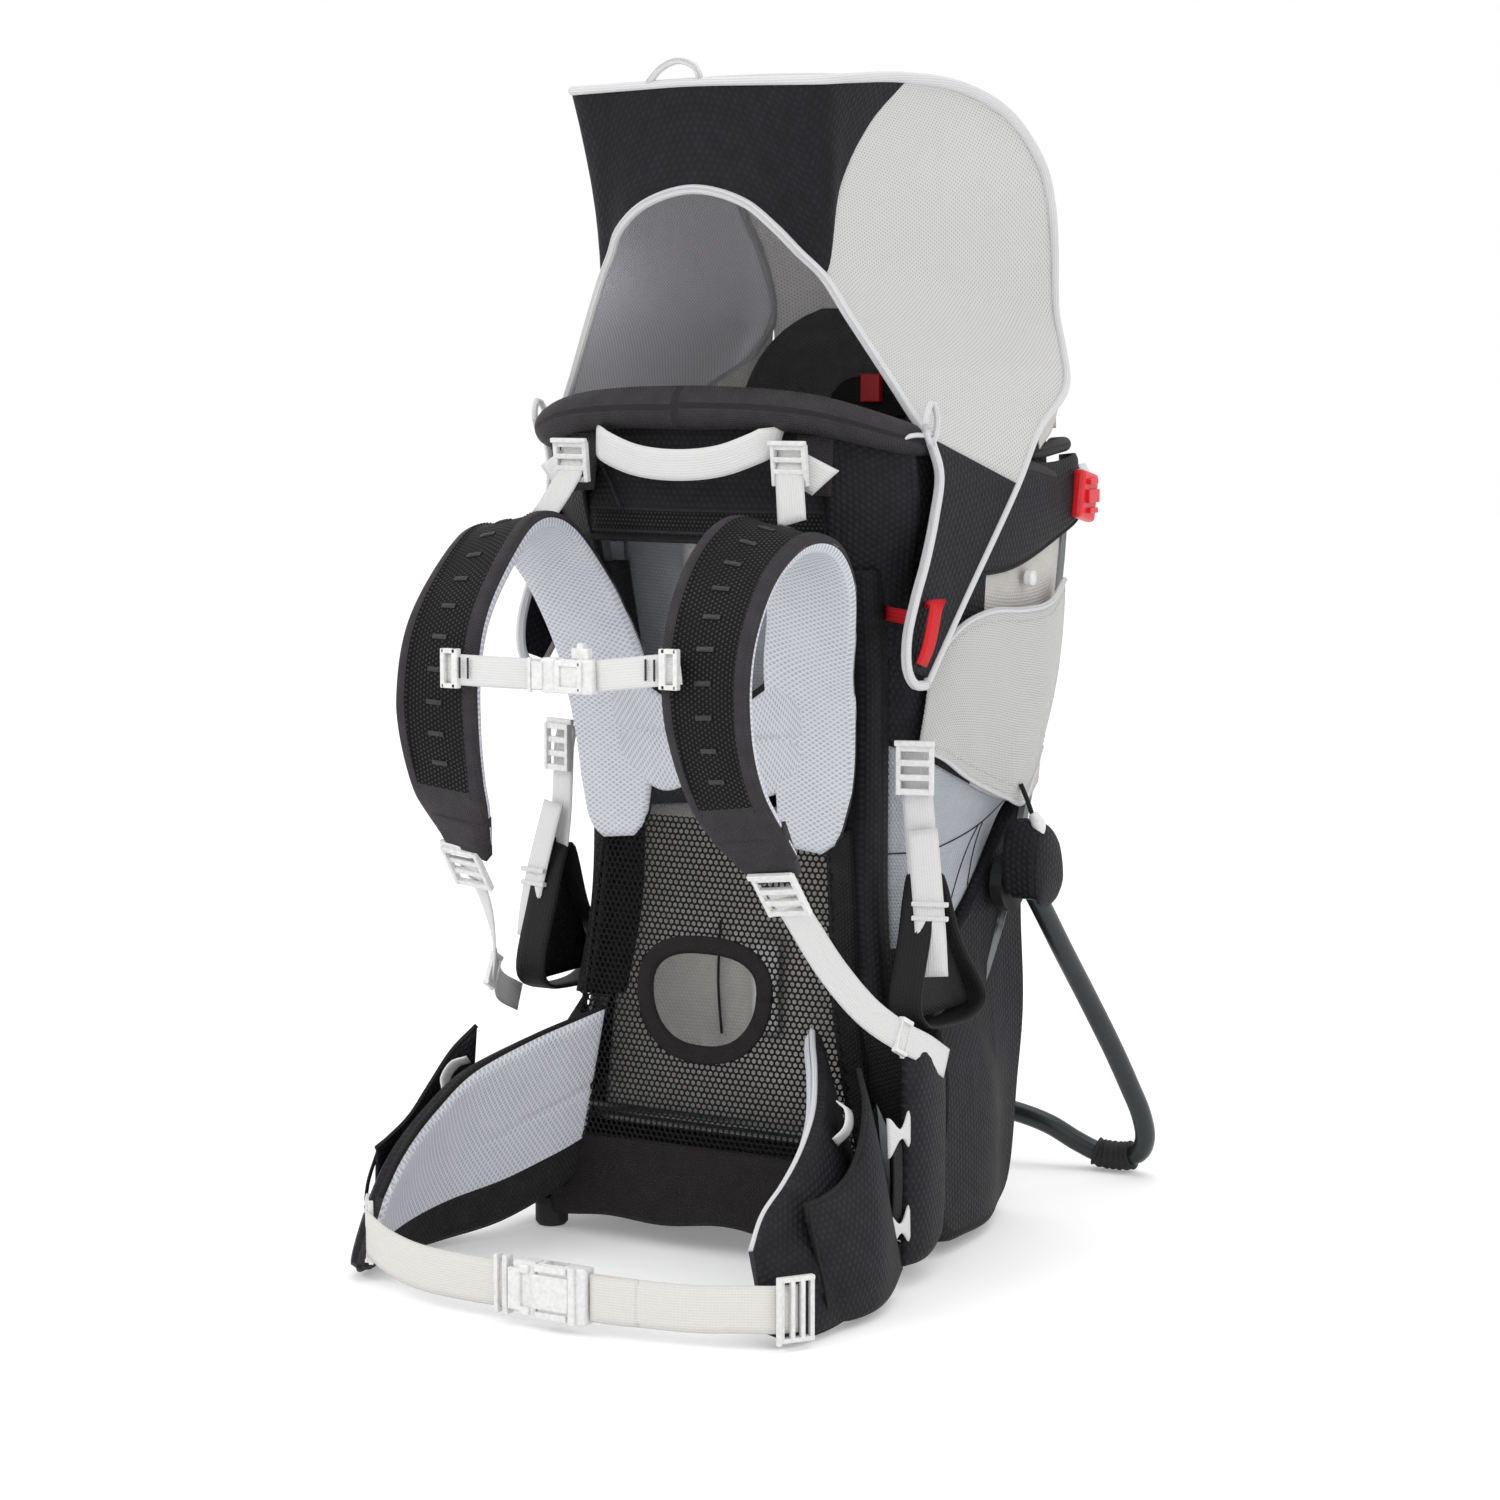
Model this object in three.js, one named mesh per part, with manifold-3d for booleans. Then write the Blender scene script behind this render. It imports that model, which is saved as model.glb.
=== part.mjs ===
// Baby carrier backpack: a framed child carrier standing on its kickstand.
// Millimetres, +Z up. The wearer's harness faces -Y and the kickstand is at +Y.
// _l is the wearer's left (+X) and _r the wearer's right (-X).
import * as THREE from 'three';
import { RoundedBoxGeometry } from 'three/addons/geometries/RoundedBoxGeometry.js';
import Module from 'manifold-3d';

const wasm = await Module();
wasm.setup();
const { Manifold, Mesh: ManifoldMesh } = wasm;

// ---- driving dimensions ----
const ORIGIN_Y = 81.7;           // shifts the model so that the origin is under its middle
const FRAME_R = 9;             // main frame tube
const STRUT_R = 7;             // rear strut tube
const RING_R = 8;              // cockpit ring tube
const STAND_R = 9.5;           // kickstand tube
const HINGE = [228, 302];      // kickstand axis: y, z
const PIN_R = 4;               // kickstand pin
const WIRE_R = 3;              // sunshade wire
const BELT_W = 38;             // hip belt webbing
const WEB_W = 25;              // harness webbing
const WEB_T = 2.4;             // webbing thickness
const STRAP_W = 80;            // shoulder strap width
const STRAP_T = 16;            // shoulder strap thickness

// ---- helpers ----
const V = (x, y, z) => new THREE.Vector3(x, y, z);
const lerp = THREE.MathUtils.lerp;
const X_AXIS = V(1, 0, 0);
const Z_AXIS = V(0, 0, 1);

// A smooth curve through [x, y, z] points, with x multiplied by side.
function curve(points, side = 1, closed = false) {
  return new THREE.CatmullRomCurve3(
    points.map(([x, y, z]) => V(x * side, y, z)), closed, 'centripetal');
}

// Straight-line interpolation in a table of [u, value].
function table(rows, u) {
  for (let i = 1; i < rows.length; i++) {
    const [a, va] = rows[i - 1];
    const [b, vb] = rows[i];
    if (u <= b) return lerp(va, vb, THREE.MathUtils.clamp((u - a) / (b - a), 0, 1));
  }
  return rows.at(-1)[1];
}

// Triangles to geometry, turned outwards.
function geometryOf(triangles) {
  let volume = 0;
  for (const [a, b, c] of triangles) volume += a.dot(b.clone().cross(c));
  const data = [];
  for (const [a, b, c] of triangles) {
    const order = volume < 0 ? [a, c, b] : [a, b, c];
    for (const p of order) data.push(p.x, p.y, p.z);
  }
  const geometry = new THREE.BufferGeometry();
  geometry.setAttribute('position', new THREE.Float32BufferAttribute(data, 3));
  geometry.computeVertexNormals();
  return geometry;
}

// A solid through rings of equal length: capped, or closed on itself.
function loft(rings, loop = false) {
  const triangles = [];
  const n = rings[0].length;
  const spans = loop ? rings.length : rings.length - 1;
  for (let i = 0; i < spans; i++) {
    const a = rings[i];
    const b = rings[(i + 1) % rings.length];
    for (let j = 0; j < n; j++) {
      const k = (j + 1) % n;
      triangles.push([a[j], a[k], b[k]], [a[j], b[k], b[j]]);
    }
  }
  if (!loop) {
    for (const [ring, flip] of [[rings[0], true], [rings.at(-1), false]]) {
      const centre = ring.reduce((sum, p) => sum.add(p), V(0, 0, 0)).divideScalar(n);
      for (let j = 0; j < n; j++) {
        const k = (j + 1) % n;
        triangles.push(flip ? [centre, ring[k], ring[j]] : [centre, ring[j], ring[k]]);
      }
    }
  }
  return geometryOf(triangles);
}

// Section of a strap: a rectangle with cut corners.
function strapSection(width, thick) {
  const w = width / 2;
  const t = thick / 2;
  const c = Math.min(w, t) * 0.45;
  return [[w - c, t], [-w + c, t], [-w, t - c], [-w, -t + c], [-w + c, -t], [w - c, -t],
    [w, -t + c], [w, t - c]];
}

// Section of a tube.
function roundSection(radius, count = 10) {
  return Array.from({ length: count }, (_, i) => {
    const a = (i / count) * Math.PI * 2;
    return [radius * Math.cos(a), radius * Math.sin(a)];
  });
}

// Rings of a section carried along a path; across is the direction of the section's width.
function ringsAlong(path, section, across, steps, from = 0, to = 1) {
  const rings = [];
  for (let i = 0; i <= steps; i++) {
    const u = lerp(from, to, i / steps);
    const centre = path.getPointAt(u);
    const tangent = path.getTangentAt(u);
    const guide = typeof across === 'function' ? across(u) : across;
    const normal = tangent.clone().cross(guide).normalize();
    const wide = normal.clone().cross(tangent).normalize();
    rings.push(section(u).map(([w, t]) => centre.clone()
      .addScaledVector(wide, w).addScaledVector(normal, t)));
  }
  return rings;
}

// A strap or pad: width and thick may be numbers or functions of u.
function strap(path, width, thick, across, steps) {
  const value = (f, u) => (typeof f === 'function' ? f(u) : f);
  return loft(ringsAlong(path, (u) => strapSection(value(width, u), value(thick, u)),
    across, steps));
}

// A loop of strap, closed on itself.
function strapLoop(path, width, thick, across, steps) {
  const rings = ringsAlong(path, () => strapSection(width, thick), across, steps);
  rings.pop();
  return loft(rings, true);
}

// A hollow sleeve between an outer section and a round bore.
function sleeve(path, outer, boreR, across, steps, from = 0, to = 1) {
  const outside = ringsAlong(path, outer, across, steps, from, to);
  const count = outer(0).length;
  const inside = ringsAlong(path, () => roundSection(boreR, count), across, steps, from, to);
  return loft([...outside, ...inside.reverse()], true);
}

// A solid tube along a curve.
function tube(path, radius, steps, sides = 10) {
  const shape = new THREE.Shape(roundSection(radius, sides).map(([a, b]) =>
    new THREE.Vector2(a, b)));
  return new THREE.ExtrudeGeometry(shape, { steps, bevelEnabled: false, extrudePath: path });
}

// A thin curved panel over point(u, v).
function sheet(point, nu, nv, thick) {
  const e = 1e-3;
  const side = (u, v, s) => {
    const du = point(Math.min(u + e, 1), v).sub(point(Math.max(u - e, 0), v));
    const dv = point(u, Math.min(v + e, 1)).sub(point(u, Math.max(v - e, 0)));
    return point(u, v).addScaledVector(du.cross(dv).normalize(), s * thick / 2);
  };
  const grid = (s) => Array.from({ length: nu + 1 }, (_, i) =>
    Array.from({ length: nv + 1 }, (_, j) => side(i / nu, j / nv, s)));
  const top = grid(1);
  const low = grid(-1);
  const triangles = [];
  const quad = (a, b, c, d) => triangles.push([a, b, c], [a, c, d]);
  for (let i = 0; i < nu; i++) {
    for (let j = 0; j < nv; j++) {
      quad(top[i][j], top[i + 1][j], top[i + 1][j + 1], top[i][j + 1]);
      quad(low[i][j], low[i][j + 1], low[i + 1][j + 1], low[i + 1][j]);
    }
    quad(top[i][0], low[i][0], low[i + 1][0], top[i + 1][0]);
    quad(top[i][nv], top[i + 1][nv], low[i + 1][nv], low[i][nv]);
  }
  for (let j = 0; j < nv; j++) {
    quad(top[0][j], top[0][j + 1], low[0][j + 1], low[0][j]);
    quad(top[nu][j], low[nu][j], low[nu][j + 1], top[nu][j + 1]);
  }
  return geometryOf(triangles);
}

// A panel ruled between two curves.
function ruled(a, b, nu, nv, thick) {
  return sheet((u, v) => a.getPointAt(u).lerp(b.getPointAt(u), v), nu, nv, thick);
}

function toManifold(geometry) {
  const position = geometry.getAttribute('position');
  const index = geometry.getIndex();
  const keys = new Map();
  const points = [];
  const corners = [];
  const count = index ? index.count : position.count;
  for (let i = 0; i < count; i++) {
    const k = index ? index.getX(i) : i;
    const p = [position.getX(k), position.getY(k), position.getZ(k)];
    const key = p.map((c) => Math.round(c * 1e4)).join();
    if (!keys.has(key)) {
      keys.set(key, points.length / 3);
      points.push(...p);
    }
    corners.push(keys.get(key));
  }
  const kept = [];
  for (let i = 0; i < corners.length; i += 3) {
    const [a, b, c] = corners.slice(i, i + 3);
    if (a !== b && b !== c && c !== a) kept.push(a, b, c);
  }
  const mesh = new ManifoldMesh({
    numProp: 3, vertProperties: new Float32Array(points), triVerts: new Uint32Array(kept) });
  return new Manifold(mesh);
}

function fromManifold(solid) {
  const mesh = solid.getMesh();
  const geometry = new THREE.BufferGeometry();
  const data = new Float32Array(mesh.vertProperties);
  geometry.setAttribute('position', new THREE.BufferAttribute(data, 3));
  geometry.setIndex(Array.from(mesh.triVerts));
  geometry.computeVertexNormals();
  return geometry;
}

const join = (...parts) => fromManifold(parts.map(toManifold).reduce((a, b) => a.add(b)));
const cut = (part, ...tools) => fromManifold(
  tools.map(toManifold).reduce((a, b) => a.subtract(b), toManifold(part)));

function box(w, d, h, x, y, z) {
  return new THREE.BoxGeometry(w, d, h).translate(x, y, z);
}

function roundedBox(w, d, h, radius, x = 0, y = 0, z = 0) {
  return new RoundedBoxGeometry(w, d, h, 1, radius).translate(x, y, z);
}

// ---- the assembly ----
const group = new THREE.Group();
const pack = new THREE.Group();
pack.position.set(0, -ORIGIN_Y, 0);
group.add(pack);

function add(name, geometry, material) {
  const mesh = new THREE.Mesh(geometry, new THREE.MeshStandardMaterial(material));
  mesh.name = name;
  pack.add(mesh);
  return mesh;
}

const SIDES = [[1, 'l'], [-1, 'r']];

const BLACK = { color: 0x1e1e21, roughness: 0.85, metalness: 0 };
const CHARCOAL = { color: 0x323032, roughness: 0.9, metalness: 0 };
const MESH_BLACK = { color: 0x151516, roughness: 0.9, metalness: 0 };
const LUMBAR = { color: 0x241f1f, roughness: 0.95, metalness: 0 };
const SPACER = { color: 0xbcbcc6, roughness: 0.9, metalness: 0 };
const SHADE_MESH = { color: 0xc8c8cd, roughness: 0.85, metalness: 0 };
const POCKET_MESH = { color: 0xb9b9b5, roughness: 0.85, metalness: 0 };
const WEBBING = { color: 0xdedcd8, roughness: 0.75, metalness: 0 };
const BUCKLE = { color: 0xd8d8d8, roughness: 0.4, metalness: 0 };
const STAND = { color: 0x3a3f40, roughness: 0.35, metalness: 0.7 };
const ALLOY = { color: 0x55585a, roughness: 0.35, metalness: 0.9 };
const RUBBER = { color: 0x161616, roughness: 0.8, metalness: 0 };
const PLASTIC = { color: 0x202022, roughness: 0.45, metalness: 0 };
const RED = { color: 0xd2232a, roughness: 0.5, metalness: 0 };

// ---- frame ----
const COLUMN = [[168, 2, 28], [158, 18, 110], [136, 32, 200], [123, 40, 290], [121, 42, 400],
  [122, 40, 500], [126, 24, 590]];
const COLUMN_TOP = [[126, 13, 640], [96, 8, 663], [0, 5, 668]];
const framePath = curve([
  ...COLUMN, ...COLUMN_TOP,
  ...[...COLUMN, ...COLUMN_TOP].slice(0, -1).reverse().map(([x, y, z]) => [-x, y, z])]);
const columnY = (z) => table(COLUMN.map(([, y, height]) => [height, y]), z);

const struts = SIDES.map(([s]) => tube(curve([[162, 16, 82], [152, 130, 150], [151, 205, 215],
  [152, 250, 285], [160, 295, 420], [166, 322, 560], [168, 330, 634]], s), STRUT_R, 14, 8));
const crossBar = new THREE.CylinderGeometry(STRUT_R, STRUT_R, 306, 12)
  .rotateZ(Math.PI / 2).translate(0, 22, 104);
add('main_frame', join(tube(framePath, FRAME_R, 44, 8), crossBar, ...struts), ALLOY);

for (const [s, side] of SIDES) {
  const profile = [[0, 0], [12, 0], [14.5, 3], [14.5, 20], [12.5, 25], [0, 25]]
    .map(([r, z]) => new THREE.Vector2(r, z));
  add(`front_foot_${side}`, new THREE.LatheGeometry(profile, 20).rotateX(Math.PI / 2)
    .translate(s * 168, 1, 0), RUBBER);
}

const ringPath = curve([[0, -38, 722], [70, -36, 721], [120, -28, 716], [160, -4, 704],
  [175, 40, 694], [177, 110, 684], [177, 200, 671], [174, 290, 658], [158, 336, 652],
  [110, 350, 650], [0, 352, 650], [-110, 350, 650], [-158, 336, 652], [-174, 290, 658],
  [-177, 200, 671], [-177, 110, 684], [-175, 40, 694], [-160, -4, 704], [-120, -28, 716],
  [-70, -36, 721]], 1, true);
const ringRings = ringsAlong(ringPath, () => roundSection(RING_R, 8), Z_AXIS, 44);
ringRings.pop();
add('cockpit_ring', loft(ringRings, true), ALLOY);

const rimPath = curve([[-160, -4, 704], [-120, -28, 716], [-70, -36, 721], [0, -38, 722],
  [70, -36, 721], [120, -28, 716], [160, -4, 704]]);
add('rim_pad', sleeve(rimPath, (u) => roundSection(lerp(15, 18, Math.sin(Math.PI * u))),
  RING_R + 3.8, Z_AXIS, 14), CHARCOAL);

// ---- kickstand ----
for (const [s, side] of SIDES) {
  const profile = [[0, 160], [24, 160], [26, 162], [26, 173], [PIN_R, 173],
    [PIN_R, 202.4], [15, 202.4], [16, 203.4], [15, 205.4], [0, 205.4]]
    .map(([r, x]) => new THREE.Vector2(r, x));
  add(`kickstand_hinge_${side}`, new THREE.LatheGeometry(profile, 16)
    .rotateZ(-Math.PI / 2).rotateY(s > 0 ? 0 : Math.PI).translate(0, ...HINGE), PLASTIC);
}

const STAND_LEG = [[188, 228, 302], [189, 242, 288], [193, 285, 238], [198, 334, 182],
  [206, 372, 130], [211, 398, 92], [214, 418, 62], [211, 434, 36], [201, 443, 20], [186, 445, 14.2],
  [164, 444, 14.2], [140, 439, 24], [112, 431, 40], [70, 425, 51], [0, 423, 54]];
const standPath = curve([...STAND_LEG,
  ...STAND_LEG.slice(0, -1).reverse().map(([x, y, z]) => [-x, y, z])]);
const lugs = SIDES.map(([s]) => new THREE.CylinderGeometry(14, 14, 26, 16)
  .rotateZ(Math.PI / 2).translate(s * 188, ...HINGE));
const bores = SIDES.map(([s]) => new THREE.CylinderGeometry(PIN_R + 0.1, PIN_R + 0.1, 40, 16)
  .rotateZ(Math.PI / 2).translate(s * 188, ...HINGE));
add('kickstand', cut(join(tube(standPath, STAND_R, 54), ...lugs), ...bores), STAND);

for (const [s, side] of SIDES) {
  const footPath = curve([[191, 444.7, 15.2], [186, 445, 14.2], [175, 444.6, 13.9],
    [164, 444, 14.2], [159, 443.2, 15.6]], s);
  add(`kickstand_foot_${side}`, sleeve(footPath, () => roundSection(13.9, 12),
    STAND_R + 1.5, Z_AXIS, 4), RUBBER);
}

// ---- cockpit and bag ----
for (const [s, side] of SIDES) {
  const sleeveOuter = () => [[21, 10], [13, 17], [-13, 17], [-21, 10], [-21, -10], [-13, -17],
    [13, -17], [21, -10]];
  const columnPath = curve(COLUMN.slice(2), s);
  add(`column_sleeve_${side}`, sleeve(columnPath, sleeveOuter, FRAME_R + 3, X_AXIS, 12,
    0.06, 0.985), BLACK);

  // Band of fabric under the cockpit ring.
  const bandTop = curve([[172, 46, 680], [177, 110, 673], [177, 200, 660], [174, 290, 646],
    [166, 318, 640]], s);
  const bandLow = curve([[172, 46, 606], [177, 110, 606], [177, 200, 602], [174, 290, 596],
    [166, 318, 594]], s);
  add(`side_band_${side}`, ruled(bandTop, bandLow, 12, 2, 4), BLACK);

  // Side wall down to the leg opening.
  const wallTop = curve([[164, 66, 603], [173, 120, 603], [176, 200, 599], [173, 285, 592]], s);
  const wallLow = curve([[164, 66, 432], [170, 120, 408], [172, 200, 384], [170, 282, 380]], s);
  add(`side_wall_${side}`, ruled(wallTop, wallLow, 6, 3, 4), BLACK);

  // Stretch pocket on the side wall: a shallow pouch, open along its curved top.
  const rimLine = curve([[176, 62, 520], [186, 110, 535], [190, 190, 560], [184, 284, 598]], s);
  const keel = curve([[175, 66, 434], [180, 120, 410], [182, 200, 386], [178, 280, 384]], s);
  add(`side_pocket_${side}`, sheet((u, v) => {
    const p = rimLine.getPointAt(u).lerp(keel.getPointAt(u), v);
    p.x += s * 14 * Math.sin(Math.PI * v) * Math.sin(Math.PI * u);
    return p;
  }, 8, 5, 2.4), POCKET_MESH);
}

const bagShape = new THREE.Shape();
bagShape.moveTo(104, 26);
bagShape.lineTo(116, 14);
bagShape.lineTo(222, 14);
bagShape.quadraticCurveTo(276, 18, 290, 78);
bagShape.lineTo(294, 200);
bagShape.lineTo(286, 340);
bagShape.lineTo(262, 362);
bagShape.lineTo(104, 292);
bagShape.closePath();
add('lower_bag', new THREE.ExtrudeGeometry(bagShape, { depth: 264, bevelEnabled: true,
  bevelThickness: 8, bevelSize: 8, bevelOffset: -8, bevelSegments: 2, curveSegments: 8 })
  .translate(0, 0, -132).rotateX(Math.PI / 2).rotateZ(Math.PI / 2), BLACK);

add('seat_pad', roundedBox(150, 150, 26, 10).rotateX(0.1).translate(0, 205, 395), BLACK);

const BACK_ROWS = [[0, 150], [0.6, 150], [0.86, 154], [0.96, 132], [1, 96]];
const seatBack = curve([[0, 306, 404], [0, 316, 520], [0, 320, 620], [0, 322, 700],
  [0, 338, 780], [0, 348, 808]]);
add('seat_back', strap(seatBack, (u) => 2 * table(BACK_ROWS, u), (u) => lerp(20, 16, u),
  X_AXIS, 16), BLACK);

const harness = curve([[-54, 298, 690], [-40, 290, 640], [0, 282, 600], [40, 290, 640],
  [54, 298, 690]]);
add('child_harness', join(strap(harness, 26, 5, Z_AXIS, 14),
  roundedBox(46, 18, 52, 5, 0, 279, 600)), RED);

const panelTop = curve([[-128, 72, 596], [0, 66, 600], [128, 72, 596]]);
const panelLow = curve([[-128, 84, 400], [0, 80, 396], [128, 84, 400]]);
add('cockpit_panel', ruled(panelTop, panelLow, 8, 4, 8), BLACK);

for (const [s, side] of SIDES) {
  add(`side_buckle_${side}`, roundedBox(12, 34, 44, 4).rotateX(-0.2)
    .translate(s * 186.5, 338, 640), RED);
}

// ---- back panel ----
const MESH_Y = [[86, -21], [150, -19], [222, -14], [300, -7], [366, -1]];
const meshFace = (u, v) => {
  const z = lerp(86, 366, v);
  const x = lerp(-134, 134, u);
  return V(x, table(MESH_Y, z) + 6 * (x / 134) ** 2, z);
};
const port = new THREE.CylinderGeometry(1, 1, 80, 28)
  .scale(46, 1, 45).translate(0, -12, 222);
add('back_mesh', cut(sheet(meshFace, 8, 10, 3), port), MESH_BLACK);

const lumbarFace = (u, v) => {
  const z = lerp(24, 82, v);
  const x = lerp(-134, 134, u);
  return V(x, lerp(-22, -12, v) + 8 * (1 - (x / 134) ** 2), z);
};
add('lumbar_band', sheet(lumbarFace, 12, 2, 10), LUMBAR);

const YOKE_ROWS = [[0, 96], [0.12, 128], [0.5, 146], [1, 150]];
const yokePath = curve([[0, 8, 372], [0, 8, 400], [0, 2, 440], [0, -8, 486]]);
add('yoke_pad', strap(yokePath, (u) => 2 * table(YOKE_ROWS, u), 14, X_AXIS, 8), SPACER);

const STRAP_LINE = [[100, -14, 501], [112, -24, 534], [122, -44, 580], [126, -80, 616],
  [124, -125, 622], [122, -170, 598], [125, -212, 545], [128, -221, 486], [134, -200, 420],
  [146, -158, 366]];
const STRAP_ACROSS = [[0, 0], [0.3, 0.1], [0.5, 0.25], [0.75, 0.2], [1, -0.25]];
const STRAP_ROWS = [[0, 74], [0.08, STRAP_W], [0.8, STRAP_W], [0.93, 66], [1, 46]];
for (const [s, side] of SIDES) {
  const path = curve(STRAP_LINE, s);
  const across = (u) => V(1, 0, table(STRAP_ACROSS, u) * -s).normalize();
  add(`shoulder_strap_${side}`, strap(path, (u) => table(STRAP_ROWS, u), STRAP_T, across, 20),
    BLACK);
}

// ---- webbing and buckles of the harness ----
// A ladder lock: a plate with three slots.
function ladderLock(w, h, thick) {
  const shape = new THREE.Shape();
  shape.moveTo(-w / 2, -h / 2);
  shape.lineTo(w / 2, -h / 2);
  shape.lineTo(w / 2 + 1, h / 2 - 4);
  shape.lineTo(w / 2 - 3, h / 2);
  shape.lineTo(-w / 2 + 3, h / 2);
  shape.lineTo(-w / 2 - 1, h / 2 - 4);
  shape.closePath();
  const bar = h / 10;
  const slot = (h - 4 * bar) / 3;
  for (let i = 0; i < 3; i++) {
    const low = -h / 2 + bar + i * (slot + bar);
    const hole = new THREE.Path();
    hole.moveTo(-w / 2 + 4, low);
    hole.lineTo(-w / 2 + 4, low + slot);
    hole.lineTo(w / 2 - 4, low + slot);
    hole.lineTo(w / 2 - 4, low);
    hole.closePath();
    shape.holes.push(hole);
  }
  return new THREE.ExtrudeGeometry(shape, { depth: thick, bevelEnabled: false })
    .translate(0, 0, -thick / 2).rotateX(Math.PI / 2);
}

for (const [s, side] of SIDES) {
  const lock = ladderLock(36, 46, 6).rotateX(-0.85).rotateZ(s * 0.12)
    .translate(s * 153, -141, 337);
  add(`strap_lock_${side}`, lock, BUCKLE);

  const webPath = curve([[158, -122, 308], [172, -100, 272], [190, -74, 236],
    [207, -46, 214], [211, -10, 196], [211, 26, 178]], s);
  const webAcross = (u) => V(lerp(1, 0, Math.min(1, u * 1.5)) * s, 0.2, 0.2 + u).normalize();
  add(`strap_webbing_${side}`, strap(webPath, WEB_W, WEB_T, webAcross, 12), WEBBING);

  const lifterPath = curve([[106, -52, 682], [112, -62, 660], [120, -75, 636]], s);
  const lifterWeb = strap(lifterPath, WEB_W, WEB_T, X_AXIS, 6);
  const lifterLock = ladderLock(34, 40, 5).rotateX(-0.12).translate(s * 106, -53, 678);
  add(`lifter_${side}`, join(lifterWeb, lifterLock), BUCKLE);
}

const handlePath = curve([[-79, -48, 690], [-73, -54, 682], [-45, -58, 672], [0, -59, 668],
  [45, -58, 672], [73, -54, 682], [79, -48, 690]]);
add('carry_handle', strap(handlePath, WEB_W, 3, Z_AXIS, 14), WEBBING);

add('front_panel', sheet((u, v) => {
  const x = lerp(-122, 122, u);
  const z = lerp(612, 697, v);
  return V(x, lerp(-16, -24, v) + 14 * (x / 122) ** 2, z);
}, 10, 3, 5), BLACK);

// A side release buckle along X: the male part's prongs sit in the female part's pocket.
function sideRelease(w, h, t) {
  const pocket = box(w * 0.8, t - 4, h - 8, -w * 0.24, 0, 0);
  const windows = [1, -1].map((k) => box(w * 0.26, t - 4, 8, -w * 0.09, 0, k * (h / 2 - 2)));
  const female = cut(roundedBox(w * 0.62, t, h, 2.5), pocket, ...windows)
    .translate(w * 0.31, 0, 0);
  const prongs = [1, -1].map((k) => box(w * 0.46, t - 6, 5, w * 0.2, 0, k * (h / 2 - 7.5)));
  const guide = box(w * 0.4, t - 6, 4, w * 0.17, 0, 0);
  const base = roundedBox(w * 0.3, t, h, 2.5, -w * 0.155, 0, 0);
  return { female, male: join(base, guide, ...prongs) };
}

// Hip belt wings, pockets and webbing.
const WING = [[148, -32, 122], [166, -68, 104], [188, -126, 82], [196, -168, 68],
  [191, -216, 50], [184, -238, 42]];
const WING_H = [[0, 140], [0.25, 148], [0.5, 140], [0.7, 116], [0.9, 80], [1, 58]];
const POCKET = [[201, -88, 90], [211, -112, 84], [219, -146, 74], [219, -190, 60]];
const POCKET_H = [[0, 96], [0.3, 104], [0.7, 82], [1, 46]];
const HIP_LEAN = -0.25;         // the wings lean in towards their top edge
for (const [s, side] of SIDES) {
  const upright = V(HIP_LEAN * s, 0, 1).normalize();
  const wing = strap(curve(WING, s), (u) => table(WING_H, u), 18, upright, 20);
  const flap = strap(curve([[188, 44, 104], [197, 4, 108], [197, -40, 108], [188, -78, 104]],
    s), (u) => lerp(150, 180, Math.sin(Math.PI * Math.min(1, u * 1.4))), 9, Z_AXIS, 8);
  add(`hip_wing_${side}`, join(wing, flap), BLACK);
  add(`hip_pocket_${side}`, strap(curve(POCKET, s), (u) => table(POCKET_H, u),
    (u) => lerp(6, 14, Math.sin(Math.PI * u)), V(HIP_LEAN * 0.6 * s, 0, 1).normalize(), 10),
    BLACK);
}

const hip = sideRelease(74, 46, 15);
const BUCKLE_X = 14;
const BUCKLE_Y = -288;
add('hip_buckle_female', hip.female.translate(BUCKLE_X, BUCKLE_Y, 31), BUCKLE);
add('hip_buckle_male', hip.male.translate(BUCKLE_X, BUCKLE_Y, 31), BUCKLE);
const beltLeft = curve([[62, -288, 31], [110, -282, 31], [150, -269, 32], [184, -250, 36]]);
add('belt_webbing_l', strap(beltLeft, BELT_W, WEB_T, Z_AXIS, 10), WEBBING);
const beltRight = curve([[-11, -288, 31], [-60, -288, 31], [-110, -282, 31], [-150, -269, 32],
  [-184, -250, 36]]);
add('belt_webbing_r', strap(beltRight, BELT_W, WEB_T, Z_AXIS, 14), WEBBING);

const sternum = sideRelease(54, 28, 12);
const CLIP_X = 4;
const CLIP_Y = -240;
const CLIP_Z = 514;
add('sternum_female', sternum.female.translate(CLIP_X, CLIP_Y, CLIP_Z), BUCKLE);
add('sternum_male', sternum.male.translate(CLIP_X, CLIP_Y, CLIP_Z), BUCKLE);
add('sternum_webbing_l', strap(curve([[39, -240, 514], [70, -239, 514], [108, -234, 514]]),
  WEB_W, WEB_T, Z_AXIS, 6), WEBBING);
add('sternum_webbing_r', strap(curve([[-13.5, -240, 514], [-60, -239, 514],
  [-108, -234, 514]]), WEB_W, WEB_T, Z_AXIS, 6), WEBBING);

// ---- stirrups ----
for (const [s, side] of SIDES) {
  const lock = ladderLock(30, 40, 5).rotateY(s * -0.1).translate(s * 178, 42, 418);
  const web = strap(curve([[179, 42, 420], [182, 40, 380], [191, 36, 332]], s), 22, WEB_T,
    V(0.97, 0, 0.2 * s).normalize(), 6);
  const loop = strapLoop(curve([[192, 38, 336], [192, 10, 280], [192, -12, 234],
    [192, 6, 222], [192, 45, 219], [192, 84, 222], [192, 102, 234], [192, 66, 280]], s, true),
  26, 4, X_AXIS, 18);
  add(`stirrup_${side}`, join(lock, web, loop), BLACK);
}

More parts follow.
